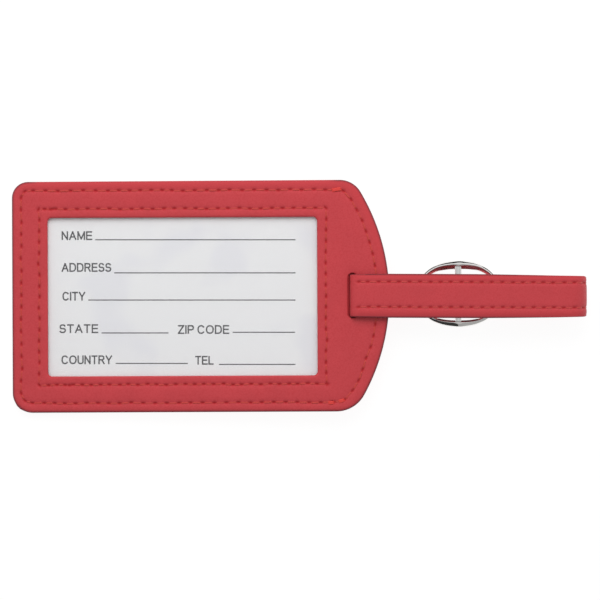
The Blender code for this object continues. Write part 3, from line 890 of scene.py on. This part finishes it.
def thread_mesh(route, up, across):
    """A twisted two-strand thread along a route of points, with its up and across directions there."""
    rings = []
    travelled = 0.0
    for index, point in enumerate(route):
        travelled += (point - route[max(index - 1, 0)]).length
        twist = 2 * math.pi * travelled / THREAD_TWIST
        taper = min(1.0, 0.45 + 0.4 * min(index, len(route) - 1 - index))
        ring = []
        for side in range(THREAD_SIDES):
            angle = 2 * math.pi * side / THREAD_SIDES
            radius = THREAD_RADIUS * taper * (0.88 + 0.16 * abs(math.cos(angle - twist)))
            flat = across[index] * (math.cos(angle) * THREAD_BREADTH * radius)
            ring.append(point + flat + up[index] * (math.sin(angle) * THREAD_FLATNESS * radius))
        rings.append(ring)
    return swept(rings, closed=False)


def panel_surface(level, face):
    """For stitches on a flat panel, on its upper face for 1 and its lower face for -1."""
    return lambda places, heights: np.column_stack([places, level + face * heights])


def ply_surface(ribbon, outward):
    """For stitches along a ply, on the face to the left of its path for 1 and to the right for -1."""
    return lambda places, heights: ribbon.at(places[:, 0], STRAP_Y + places[:, 1],
                                             outward * (PLY / 2 + heights))


def stitches(rows, surface, skew=0.0):
    """Thread between the holes of rows. The surface gives the points at places and heights on its sheet."""
    parts = np.linspace(0, 1, STITCH_STEPS + 1)
    meshes = []
    for start, end in (pair for holes in rows for pair in zip(holes, holes[1:])):
        length = math.dist(start, end)
        side = np.array((start[1] - end[1], end[0] - start[0])) / length
        places = start + np.outer(parts, end - start) + np.outer(skew * (2 * parts - 1), side)
        heights = np.array([thread_height(part, length) for part in parts])
        route = [Vector(point) for point in surface(places, heights)]
        above = [Vector(point) for point in surface(places, heights + 1 * MM)]
        up = [(high - low).normalized() for high, low in zip(above, route)]
        across = [direction.cross(route[-1] - route[0]).normalized() for direction in up]
        meshes.append(thread_mesh(route, up, across))
    return merged(meshes)


# ---------------------------------------------------------------- the tag's panels

def build_tag():
    outer, window = outer_row(), window_row()
    left_end = np.flatnonzero(outer[:, 0] <= MOUTH_DEPTH)
    sewn_back = np.concatenate([outer[left_end[-1] + 1:-1], outer[:left_end[0]]])
    leather = leatherette("tag_leatherette", "flat_place")
    front = FlatSheet(tag_outline(), (window_outline(), slot_outline()), (outer, window))
    back = FlatSheet(back_outline(), (), split_rows(sewn_back, 0, BACK_PANEL_RIGHT))
    slot = slot_outline(FACING_SLOT_LEFT, 0, 0.3 * MM)
    facing = FlatSheet(facing_outline(), (slot,), split_rows(sewn_back, FACING_LEFT, TAG_LENGTH))
    # Each panel's node, plan, lower and upper face, the side its relief is on, and in millimetres how far
    # in its edges curve, its waviness and the swell beside its seams.
    panels = (("front_panel", front, FRONT_LOW, FRONT_FACE, 1, (1.0, 0.6, 0.45), 0.12, 0.1),
              ("back_panel", back, 0, BACK_THICKNESS, -1, (0.7,), 0.03, 0.02),
              ("neck_facing", facing, 0, FACING_TOP, -1, (0.8, 0.4), 0.03, 0.02))
    for node, sheet, low, high, face, reaches, undulation, swell in panels:
        reaches = [reach * MM for reach in reaches]
        mesh = relief_panel(sheet, low, high, face, reaches, undulation * MM, swell * MM)
        place_piece(f"{node}_skin", mesh, leather, "tag", (node,))

    thread = thread_material("tag_thread", (0.62, 0.05, 0.04))
    # A brighter copy of the same thread, painted lighter for the light that the raised back-tack lumps
    # catch.
    lit_tack_thread = thread_material("lit_tack_thread", (0.80, 0.05, 0.04))
    seams = (("outer_seam_top", (outer,), FRONT_FACE + SEAM_RISE, 1, thread, ("outer_stitching",)),
             ("outer_seam_tacks", back_tacks(), FRONT_FACE + TACK_RISE, 1, lit_tack_thread, ()),
             ("window_seam_top", (window,), FRONT_FACE + SEAM_RISE, 1, thread, ("window_stitching",)),
             ("outer_seam_back", (sewn_back,), SEAM_RISE, -1, thread, ()))
    for name, rows, level, face, material, nodes in seams:
        mesh = stitches(rows, panel_surface(level, face), STITCH_SKEW)
        place_piece(name, mesh, material, "tag", nodes)


def split_rows(holes, left, right):
    """The stretches of a row of holes that lie between two places along the tag."""
    rows = [[]]
    for hole in holes:
        if left - 1 * MM < hole[0] < right + 1 * MM:
            rows[-1].append(hole)
        elif rows[-1]:
            rows.append([])
    return [np.array(row) for row in rows if len(row) > 1]


# ---------------------------------------------------------------- the card and its window

# Each field in millimetres from the card's middle: its label with its left end, baseline and width, then
# its rule's ends and height.
CARD_FIELDS = (
    ("NAME", -36.1, 17.2, 9.3, -25.9, 34.95, 17.3),
    ("ADDRESS", -36.1, 7.55, 15.1, -20.1, 34.95, 7.25),
    ("CITY", -35.9, -1.2, 7.0, -28.0, 34.95, -1.0),
    ("STATE", -36.8, -11.05, 11.8, -23.95, -3.65, -11.0),
    ("ZIP CODE", -0.8, -11.3, 15.6, 15.85, 34.8, -10.8),
    ("COUNTRY", -36.2, -20.5, 15.45, -19.7, 2.25, -20.25),
    ("TEL", 4.45, -20.65, 5.6, 11.7, 34.95, -20.55),
)
LETTER_HEIGHT = 2.7 * MM
LETTER_STROKE = 0.43 * MM
INK_THICKNESS = 0.02 * MM
THIN_EDGE = 0.06 * MM
RULE_WIDTH = 0.31 * MM
CARD_TURN = math.radians(-0.25)


def signed_power(value, power):
    return math.copysign(abs(value) ** power, value)


def bowl(centre, half_width, half_height, start, end):
    """Part of a squarish oval in a letter, in parts of its height."""
    angles = [math.radians(start + (end - start) * step / 12) for step in range(13)]
    return [(centre[0] + half_width * signed_power(math.cos(a), 0.85),
             centre[1] + half_height * signed_power(math.sin(a), 0.85)) for a in angles]


# Plain sans capitals: each letter's width and pen strokes, in parts of the letter's height.
LETTERS = {
    "A": (0.72, [[(0, 0), (0.36, 1), (0.72, 0)], [(0.13, 0.33), (0.59, 0.33)]]),
    "C": (0.74, [bowl((0.38, 0.5), 0.36, 0.5, 40, 320)]),
    "D": (0.68, [[(0, 0), (0, 1), (0.3, 1)] + bowl((0.3, 0.5), 0.38, 0.5, 90, -90) + [(0, 0)]]),
    "E": (0.58, [[(0.58, 1), (0, 1), (0, 0), (0.6, 0)], [(0, 0.52), (0.54, 0.52)]]),
    "I": (0.0, [[(0, 0), (0, 1)]]),
    "L": (0.5, [[(0, 1), (0, 0), (0.52, 0)]]),
    "M": (0.78, [[(0, 0), (0, 1), (0.39, 0.08), (0.78, 1), (0.78, 0)]]),
    "N": (0.62, [[(0, 0), (0, 1), (0.62, 0), (0.62, 1)]]),
    "O": (0.8, [bowl((0.4, 0.5), 0.4, 0.5, 0, 360)]),
    "P": (0.6, [[(0, 0), (0, 1), (0.34, 1)] + bowl((0.34, 0.73), 0.26, 0.27, 90, -90) + [(0, 0.46)]]),
    "R": (0.64, [[(0, 0), (0, 1), (0.36, 1)] + bowl((0.36, 0.75), 0.25, 0.25, 90, -90) + [(0, 0.5)],
                 [(0.36, 0.5), (0.64, 0)]]),
    "S": (0.6, [bowl((0.3, 0.74), 0.27, 0.26, 25, 230) + bowl((0.3, 0.26), 0.3, 0.26, 60, -155)]),
    "T": (0.62, [[(0, 1), (0.62, 1)], [(0.31, 1), (0.31, 0)]]),
    "U": (0.62, [[(0, 1), (0, 0.3)] + bowl((0.31, 0.3), 0.31, 0.3, 180, 360) + [(0.62, 1)]]),
    "Y": (0.68, [[(0, 1), (0.34, 0.44), (0.68, 1)], [(0.34, 0.44), (0.34, 0)]]),
    "Z": (0.6, [[(0, 1), (0.6, 1), (0, 0), (0.62, 0)]]),
}
LETTER_GAP = 0.28
WORD_GAP = 0.55


def split_at_corners(line):
    """The stretches of a pen line between its sharp corners."""
    stretches = [[line[0]]]
    for index in range(1, len(line) - 1):
        before, here, after = (Vector(line[index + step]) for step in (-1, 0, 1))
        stretches[-1].append(line[index])
        if (here - before).length > 0 and (after - here).length > 0:
            if (here - before).normalized().dot((after - here).normalized()) < 0.6:
                stretches.append([line[index]])
    stretches[-1].append(line[-1])
    return stretches


def pen_strokes(words):
    """The strokes of a label and its whole width, in parts of the letters' height."""
    strokes = []
    reach = 0.0
    for letter in words:
        if letter == " ":
            reach += WORD_GAP - LETTER_GAP
            continue
        width, lines = LETTERS[letter]
        strokes += [[(reach + x, y) for x, y in line] for line in lines]
        reach += width + LETTER_GAP
    return strokes, reach - LETTER_GAP


def printed_line(points, width, overrun=0.0):
    """A thin flat band of ink along a line of points, run on a little past its ends."""
    line = [Vector(point) for point in without_repeats(points)]
    line[0] = line[0] + (line[0] - line[1]).normalized() * overrun
    line[-1] = line[-1] + (line[-1] - line[-2]).normalized() * overrun
    low, high = CARD_TOP, CARD_TOP + INK_THICKNESS
    sides = zip(offset_path(line, width / 2), offset_path(line, -width / 2))
    return swept([((*a, low), (*b, low), (*b, high), (*a, high)) for a, b in sides], closed=False)


def label_meshes(words, left, baseline, width):
    """Printed capitals, fitted to a width."""
    strokes, reach = pen_strokes(words)
    across = (width - LETTER_STROKE) / reach
    tall = LETTER_HEIGHT - LETTER_STROKE
    start = left + LETTER_STROKE / 2
    base = baseline + LETTER_STROKE / 2
    meshes = []
    for stroke in strokes:
        for line in split_at_corners([(start + x * across, base + y * tall) for x, y in stroke]):
            meshes.append(printed_line(line, LETTER_STROKE, LETTER_STROKE * 0.45))
    return meshes


def build_card():
    """The card lies very slightly turned in its pocket."""
    middle = Vector((CARD_LEFT + CARD_LENGTH / 2, 0, 0))
    turned = Matrix.Translation(middle) @ Matrix.Rotation(CARD_TURN, 4, "Z")
    half_length, half_width = CARD_LENGTH / 2, CARD_WIDTH / 2
    outline = rounded_rectangle(-half_length, half_length, -half_width, half_width, 1.5 * MM)
    sheet = thin_sheet(FlatSheet(outline, edge_step=1.2 * MM), CARD_LOW, CARD_TOP, 0)
    sheet.transform(turned)
    place_piece("printed_card", sheet, card_material(), "card", ("id_card",))
    letters = []
    rules = []
    for words, left, baseline, width, start, end, height in CARD_FIELDS:
        letters += label_meshes(words, left * MM, baseline * MM, width * MM)
        rules.append(printed_line([(start * MM, height * MM), (end * MM, height * MM)], RULE_WIDTH))
    ink = ink_material()
    for name, meshes in (("card_labels", letters), ("card_rules", rules)):
        mesh = merged(meshes)
        mesh.transform(turned)
        place_piece(name, mesh, ink, "card", ())


def thin_sheet(sheet, low, high, bulge):
    """A thin flat sheet with rounded edges. A bulge lifts its middle in slow waves."""
    rounding = THIN_EDGE
    points, triangles = sheet.triangulated([rounding * 0.4, rounding], [], THIN_GRID, 0.02 * MM)
    distances = sheet.distances(points)
    curve = edge_curve(distances, [rounding])
    lift = bulge * np.clip((distances[0] - 11 * MM) / (8 * MM), 0, 1)
    lift *= np.array([0.6 + 0.8 * noise.noise(Vector((x / 22, y / 14, 1.7)) / MM) for x, y in points])
    middle, half = (low + high) / 2 + lift, (high - low) / 2
    faces = []
    for side in (1, -1):
        corners = np.column_stack([points, middle + side * half * curve])
        faces.append(mesh_from(corners, triangles[:, ::side].tolist()))
    return merged(faces, weld=True)


def build_window():
    outline = rounded_rectangle(SHEET_LEFT, SHEET_RIGHT, -SHEET_HALF_WIDTH, SHEET_HALF_WIDTH, 3 * MM)
    mesh = thin_sheet(FlatSheet(outline, edge_step=1.5 * MM), SHEET_LOW, SHEET_TOP, 0.25 * MM)
    place_piece("window_vinyl", mesh, vinyl_material(), "tag", ("window_sheet",))


# ---------------------------------------------------------------- the strap

def offset_path(path, distance):
    """A path moved to its left by a distance, with the same thickness kept round its corners."""
    moved = []
    for index, point in enumerate(path):
        before = Vector(path[max(index - 1, 0)])
        here = Vector(point)
        after = Vector(path[min(index + 1, len(path) - 1)])
        incoming = (here - before).normalized() if index else (after - here).normalized()
        outgoing = (after - here).normalized() if index < len(path) - 1 else incoming
        along = (incoming + outgoing).normalized()
        stretch = 1 / max(along.dot(incoming), 0.5)
        moved.append((here.x - along.y * distance * stretch, here.y + along.x * distance * stretch))
    return moved


def tail_path():
    """The middle of the tail, from its tip along the anchored run and outside the bar to the back run."""
    bar_u = BAR_AXIS[0]
    path = easing((BEND_END, BACK_RUN), (bar_u - 12.3 * MM, TAIL_AT_RING))
    path += easing((bar_u - 7.8 * MM, TAIL_AT_RING), (bar_u - 2.3 * MM, TAIL_UNDER_BAR))
    path += easing((bar_u + BAR_FLANK, TAIL_UNDER_BAR), (bar_u + LEVEL_PAST_BAR, TAIL_RUN))
    path.append((TAIL_TIP, TAIL_RUN))
    return path[::-1]


def slot_turn_path():
    """The middle of the strap where it goes round the neck's land: back run, slot, front run."""
    upper = (TURN_LEFT + TURN_RADIUS, FRONT_RUN - TURN_RADIUS)
    lower = (TURN_LEFT + TURN_RADIUS, BACK_RUN + TURN_RADIUS)
    return arc(lower, TURN_RADIUS, 270, 180, 20) + arc(upper, TURN_RADIUS, 180, 90, 20)


def loop_face_path():
    """The face ply: front run, far fold, anchored run, round the bar and back along itself."""
    fold_radius = FOLD_RADIUS + PLY_OFFSET
    anchor = ANCHOR_RUN - PLY_OFFSET
    bar_u, bar_w = BAR_AXIS
    wrap = BAR_RADIUS + LAYER_GAP + PLY / 2
    fold_end = (FOLD_CENTRE[0], FOLD_CENTRE[1] - fold_radius)
    sewn_start = (bar_u + 3.7 * MM, ANCHOR_RUN + PLY_OFFSET + PLY + LAYER_GAP)
    path = [(BEND_END, FRONT_RUN + PLY_OFFSET)]
    path += arc(FOLD_CENTRE, fold_radius, 90, -90, 48)[:-1]
    path += easing(fold_end, (TAIL_TIP + 1.2 * MM, anchor))
    path += easing((bar_u + LEVEL_PAST_BAR, anchor), (bar_u + BAR_FLANK, bar_w - wrap))
    path += arc(BAR_AXIS, wrap, -90, -270, 36)
    path.append(sewn_start)
    path.append((bar_u + 10.7 * MM, sewn_start[1]))
    return path


def loop_lining_path():
    """The lining ply, inside the face ply as far as the bar, where it is skived off."""
    face = loop_face_path()
    bar_side = BAR_AXIS[0] + 3.3 * MM
    under = [index for index, (u, w) in enumerate(face) if u > bar_side and w < ANCHOR_RUN]
    return offset_path(face[:under[-1] + 1], -2 * PLY_OFFSET)


def without_repeats(path):
    kept = [path[0]]
    for point in path[1:]:
        if math.dist(point, kept[-1]) > 1e-6:
            kept.append(point)
    return kept


def strap_drift(u):
    """The strap lies a little askew: how far it has moved across at a place along the tag."""
    return STRAP_DRIFT * np.clip((u - SLOT_RIGHT) / (DRIFT_END - SLOT_RIGHT), 0, 1)


class Ribbon:
    """One ply of the strap: a path in the u and w plane, read by the distance along it."""

    def __init__(self, path):
        self.line = resampled(without_repeats(path), RIBBON_STEP, closed=False)
        self.normal = left_normals(self.line, closed=False)
        self.run = np.concatenate([[0], np.cumsum(np.hypot(*np.diff(self.line, axis=0).T))])

    def at(self, run, y, height):
        """The place at a distance along, across the strap and out from the path's middle."""
        columns = (*self.line.T, *self.normal.T)
        u, w, normal_u, normal_w = (np.interp(run, self.run, column) for column in columns)
        return np.column_stack([u + normal_u * height, y + strap_drift(u), w + normal_w * height])

    def run_at(self, u, w):
        """The distance along to the point of the path nearest a place."""
        return self.run[np.argmin(np.hypot(self.line[:, 0] - u, self.line[:, 1] - w))]


def strap_half_width(u, run):
    """Half the strap's width: a rounded tail, and slightly narrower where it folds over at the far end."""
    toward_fold = np.clip((u - NARROWING_START) / (STRAP_FAR_END - NARROWING_START), 0, 1)
    half = STRAP_WIDTH / 2 + WIDER_PAST_SLOT * np.clip((u - SLOT_RIGHT) / WIDENING_LENGTH, 0, 1)
    half -= NARROWER_AT_FOLD * toward_fold ** 1.3
    into_corner = np.clip((u - (STRAP_FAR_END - FOLD_CORNER)) / FOLD_CORNER, 0, 1)
    half -= FOLD_CORNER_DEPTH * (1 - np.sqrt(1 - into_corner ** 2))
    into_tip = np.clip(1 - run / TAIL_ROUNDING, 0, 0.9995)
    return half * np.sqrt(1 - into_tip ** 2.4)


def ply_mesh(ribbon, rows, outward):
    """A ply as a closed ribbon with its relief on one face: 1 for the left of its path, -1 for the right.

    Inside the slot it is pressed flat.
    """
    run = ribbon.run
    in_slot = np.clip((SLOT_RIGHT + 0.6 * MM - ribbon.line[:, 0]) / (0.8 * MM), 0, 1)
    half = strap_half_width(ribbon.line[:, 0], run)
    inner = np.maximum(half - PLY_ROUNDING, half * 0.3)
    turns = np.linspace(0, math.pi, 7)[1:-1]
    sides = (("top", np.linspace(-1, 1, PLY_COLUMNS)), ("right", turns),
             ("under", np.linspace(1, -1, 5)), ("left", turns[::-1]))
    columns = []
    for kind, value in ((kind, value) for kind, values in sides for value in values):
        y = inner * value
        pit_shade = np.zeros(len(run))
        height = pit_shade - PLY / 2
        if kind == "top":
            depth, pit_shade = swell_and_pits(np.column_stack([run, y]), rows)
            nearest = np.minimum.reduce([np.abs(y - holes[0, 1]) for holes in rows] + [half - np.abs(y)])
            swell = PLY_SWELL * (1 - np.exp(-(nearest / PLY_SWELL_REACH) ** 2))
            height = PLY / 2 + (swell - PLY_CROWN * value ** 6 - depth) * (1 - in_slot)
        elif kind != "under":
            y = (inner + (half - inner) * math.sin(value)) * (1 if kind == "right" else -1)
            height = pit_shade + PLY / 2 * math.cos(value)
        height = height * outward
        columns.append(np.column_stack([run, y, height * 0.3, pit_shade, ribbon.at(run, STRAP_Y + y, height)]))
    table = np.stack(columns, axis=1)
    flat = table[..., :3].reshape(-1, 3)
    # Masks for the material: the painted highlight along both edges, the dark cut edge with painted shade
    # on it (weaker on the far edge, which faces the light), and a broader painted shade along the near
    # edge.
    far = flat[:, 1] > 0
    from_side = STRAP_WIDTH / 2 - np.abs(flat[:, 1])
    cut = np.exp(-(from_side / (0.7 * RIM_WIDTH)) ** 2) * np.where(far & (from_side > 0.1 * MM), 0.4, 1)
    mottle_and_edge_shade = np.where(far, 0, 0.28) * np.exp(-(from_side / (1.3 * MM)) ** 2)
    masks = {"flat_place": flat, "pit_shade": table[..., 3].ravel(), "rim": np.maximum(cut, mottle_and_edge_shade),
             "edge": np.exp(-(from_side / (2.0 * MM)) ** 4)}
    return swept(table[..., 4:], closed=False, attributes=masks)


def prism(outline, low, high):
    """A straight-sided solid on a flat outline."""
    mesh = swept([[(x, y, level) for x, y in outline] for level in (low, high)], closed=False)
    mesh.shade_flat()
    return mesh


def with_holes(mesh, cutters):
    """The mesh with each cutter's shape cut out."""
    target = add_object("target", mesh)
    helpers = [add_object("cutter", cutter) for cutter in cutters]
    for helper in helpers:
        modifier = target.modifiers.new("hole", "BOOLEAN")
        modifier.operation = "DIFFERENCE"
        modifier.solver = "EXACT"
        modifier.object = helper
    bpy.context.view_layer.update()
    evaluated = target.evaluated_get(bpy.context.evaluated_depsgraph_get())
    result = bpy.data.meshes.new_from_object(evaluated)
    for helper in helpers + [target]:
        bpy.data.objects.remove(helper, do_unlink=True)
    return result


def tail_hole_cutters():
    """The prong's oblong hole in the tail and a spare hole on each side of it."""
    long_left = BAR_AXIS[0] - 1.8 * MM
    long_right = BAR_AXIS[0] + 0.5 * MM
    middle = (long_left + long_right) / 2
    y = STRAP_Y + float(strap_drift(middle))
    spans = ((long_left, long_right, -1.2 * MM),
             (middle - HOLE_SPACING, middle - HOLE_SPACING, 0.6 * MM),
             (middle + HOLE_SPACING, middle + HOLE_SPACING, 0.25 * MM))
    cutters = []
    for left, right, top in spans:
        outline = arc((right, y), HOLE_RADIUS, -85, 85, 12) + arc((left, y), HOLE_RADIUS, 95, 265, 12)
        cutters.append(prism(outline, -6 * MM, top))
    return cutters


def eye_slot_cutter():
    """The slot through the wrap round the bar, where the prong's eye sits."""
    left, right = BAR_AXIS[0] - 3 * MM, BAR_AXIS[0] + 2.7 * MM
    low, high = PRONG_Y - 0.85 * MM, PRONG_Y + 0.85 * MM
    return prism([(left, low), (right, low), (right, high), (left, high)], -1.1 * MM, 3.3 * MM)


def build_strap():
    """Both plies and their stitches, each from the tail through the slot and round the loop."""
    # The lining's red, and the paler red of the highlight painted along its edges.
    lining_reds = ((0.40, 0.05, 0.058), (0.42, 0.05, 0.058))
    leather = leatherette("strap_leatherette", "flat_place")
    lining = leatherette("strap_lining_leatherette", "flat_place", *lining_reds)
    thread = thread_material("strap_thread", (0.60, 0.05, 0.045))
    start = tail_path() + slot_turn_path()
    face = Ribbon(offset_path(start, PLY_OFFSET) + loop_face_path())
    inner = Ribbon(offset_path(start, -PLY_OFFSET) + loop_lining_path())
    sewn_to = face.run_at(BAR_AXIS[0] + LEVEL_PAST_BAR + 1.5 * MM, ANCHOR_RUN - PLY_OFFSET)
    # Each ply's name, ribbon, facing side, last stitch, material, the nodes it stands for and its slot.
    plies = (("strap_face", face, 1, sewn_to, leather,
              ("slot_outer_ply", "strap_bend_top", "loop_outer_ply", "tail_outer_ply"), "leatherette"),
             ("strap_lining", inner, -1, inner.run[-1] - 5 * MM, lining,
              ("slot_inner_ply", "strap_bend_bottom", "loop_inner_ply", "tail_inner_ply"), "strap_lining"))
    sewn = []
    for name, ribbon, outward, last, material, nodes, slot in plies:
        rows = []
        for y in STRAP_ROWS.values():
            holes = resampled([(SEWN_FROM, y), (last, y)], STRAP_PITCH, closed=False)
            rows.append(holes + wander(len(holes), 0.1, 0.04))
        cutters = tail_hole_cutters() + ([eye_slot_cutter()] if ribbon is face else [])
        mesh = with_holes(ply_mesh(ribbon, rows, outward), cutters)
        place_piece(name, mesh, material, "strap", nodes)
        sewn.append([stitches((holes,), ply_surface(ribbon, outward)) for holes in rows])
    for side, outside, inside in zip(STRAP_ROWS, *sewn):
        seam = f"strap_seam_{side}"
        place_piece(seam, outside, thread, "strap", (f"strap_stitching_{side}",))
        place_piece(f"{seam}_inside", inside, thread, "strap", ())


# ---------------------------------------------------------------- the buckle

PRONG_Y = STRAP_Y + float(strap_drift(BAR_AXIS[0]))
RING_OUTER = (12.8 * MM, 10.1 * MM, 2.22)
RING_INNER = (10.95 * MM, 7.8 * MM, 2.7)
RING_SHIFT = 0.4 * MM
OPENING_SHIFT = -0.25 * MM
RING_HEIGHT = (0.8 * MM, 1.05 * MM)
# The far rail's upper side, from its outer edge to its inner, in parts of its half width and height. The
# near rail's is the same turned round, so that both crests lie to the far side.
RAIL_PROFILE = ((1, 0), (0.98, 0.45), (0.9, 0.64), (0.6, 0.88), (0.4, 0.975), (0.2, 1.0), (-0.1, 0.9),
                (-0.75, 0.5), (-0.93, 0.28), (-1, 0))


def superellipse(angle, half_length, half_width, roundness):
    along, across = (signed_power(value, 2 / roundness) for value in (math.cos(angle), math.sin(angle)))
    return Vector((along * half_length, across * half_width, 0))


def bow_drop(away):
    """How far the ring has bowed down at a distance from its bar: an even slope, eased at both ends."""
    slope = RING_BOW / (BOW_REACH - BOW_EASE)
    if away < BOW_EASE:
        return slope * away * away / (2 * BOW_EASE)
    left = max(BOW_REACH - away, 0)
    if left < BOW_EASE:
        return RING_BOW - slope * left * left / (2 * BOW_EASE)
    return slope * (away - BOW_EASE / 2)


def rail_section(angle, steps=16):
    """The ring's section at an angle round it: bevelled on the rails and round at the ends."""
    round_top = np.array([(math.cos(a), math.sin(a)) for a in np.linspace(0, math.pi, steps + 1)])
    profile = resampled(list(RAIL_PROFILE), 0.1, closed=False)
    part = np.linspace(0, 1, steps + 1) * (len(profile) - 1)
    index = np.arange(len(profile))
    bevelled = np.column_stack([np.interp(part, index, profile[:, axis]) for axis in (0, 1)])
    if math.sin(angle) < 0:
        bevelled = bevelled[::-1] * (-1, 1)
    share = min(abs(math.sin(angle)) / 0.6, 1)
    top = round_top + (bevelled - round_top) * share * share * (3 - 2 * share)
    under = [(math.cos(a), math.sin(a)) for a in np.linspace(math.pi, 2 * math.pi, 9)[1:-1]]
    return np.concatenate([top, under])


def ring_mesh():
    """A cast ring: its rails are broader than its ends, and its ends bow down past the straps."""
    rings = []
    centre = Vector((BAR_AXIS[0] + RING_SHIFT, BUCKLE_Y, BAR_AXIS[1]))
    for index in range(RING_SECTIONS):
        angle = 2 * math.pi * (index + 0.5) / RING_SECTIONS
        outer = superellipse(angle, *RING_OUTER)
        inner = superellipse(angle, *RING_INNER) + Vector((0, OPENING_SHIFT, 0))
        middle = (outer + inner) / 2
        spoke = (outer - inner) / 2
        height = RING_HEIGHT[0] + (RING_HEIGHT[1] - RING_HEIGHT[0]) * max(math.sin(angle), 0) ** 2
        base = centre + middle - Vector((0, 0, bow_drop(abs(middle.x))))
        section = rail_section(angle)
        rings.append([base + spoke * out + Vector((0, 0, height * lift)) for out, lift in section])
    return swept(rings, closed=True)


def round_section(centre, out, aside, radius, sides):
    """A round wire's section, in the plane of two directions."""
    angles = [2 * math.pi * side / sides for side in range(sides)]
    return [centre + (out * math.cos(a) + aside * math.sin(a)) * radius for a in angles]


def bar_mesh():
    """The plain round centre bar."""
    half = RING_INNER[1] + 0.5 * MM
    rings = []
    for along in (-half, 0.1 * MM - half, half - 0.1 * MM, half):
        centre = Vector((BAR_AXIS[0], BUCKLE_Y + along, BAR_AXIS[1]))
        axes = Vector((1, 0, 0)), Vector((0, 0, 1))
        rings.append(round_section(centre, *axes, BAR_RADIUS * BAR_PLATING, BAR_SIDES))
    return swept(rings, closed=False)


def prong_mesh():
    """A bent wire: an eye round the bar, out through the tail's hole, and along to the ring's near end."""
    eye = BAR_RADIUS + LAYER_GAP + PRONG_RADIUS
    bend_centre = (-eye - PRONG_BEND_RADIUS, PRONG_BEND_RADIUS - PRONG_SHAFT_DROP)
    path = arc((0, 0), eye, -90, 180, 40)
    path += arc(bend_centre, PRONG_BEND_RADIUS, 0, -90, 14)
    path.append((-PRONG_REACH, -PRONG_TIP_DROP))
    line = resampled(without_repeats(path), 0.3 * MM, closed=False)
    normal = left_normals(line, closed=False)
    rings = []
    for index, ((u, w), (normal_u, normal_w)) in enumerate(zip(line, normal)):
        end = min(index, len(line) - 1 - index)
        radius = PRONG_RADIUS * math.sqrt(1 - max(0.0, 1 - (end + 0.3) / 2.4) ** 2)
        centre = Vector((BAR_AXIS[0] + u, PRONG_Y, BAR_AXIS[1] + w))
        axes = Vector((normal_u, 0, normal_w)), Vector((0, 1, 0))
        rings.append(round_section(centre, *axes, radius, PRONG_SIDES))
    return swept(rings, closed=False)


def build_buckle():
    chrome = chrome_material("nickel_plate", (0.93, 0.92, 0.90), 0.06)
    steel = chrome_material("bar_plate", (0.88, 0.88, 0.87), 0.12)
    place_piece("buckle_ring", ring_mesh(), chrome, "buckle", ("buckle_frame",))
    place_piece("buckle_centre_bar", bar_mesh(), steel, "buckle", ("buckle_bar",))
    place_piece("buckle_tongue", prong_mesh(), chrome, "prong", ("buckle_prong",))


def finish_cad_nodes():
    """The welt and the stiffener board keep their CAD shape and take a finished material."""
    nodes = {"pocket_welt": leatherette("welt_leatherette"), "back_board": board_material()}
    for name, material in nodes.items():
        obj = frame["nodes"][name]
        obj.data.materials.clear()
        obj.data.materials.append(material)


def build():
    add_camera()
    add_world()
    add_floor()
    add_dark_cards()
    add_key()
    bpy.context.scene.view_settings.view_transform = "Standard"
    build_tag()
    build_card()
    build_window()
    build_strap()
    build_buckle()
    finish_cad_nodes()


build()
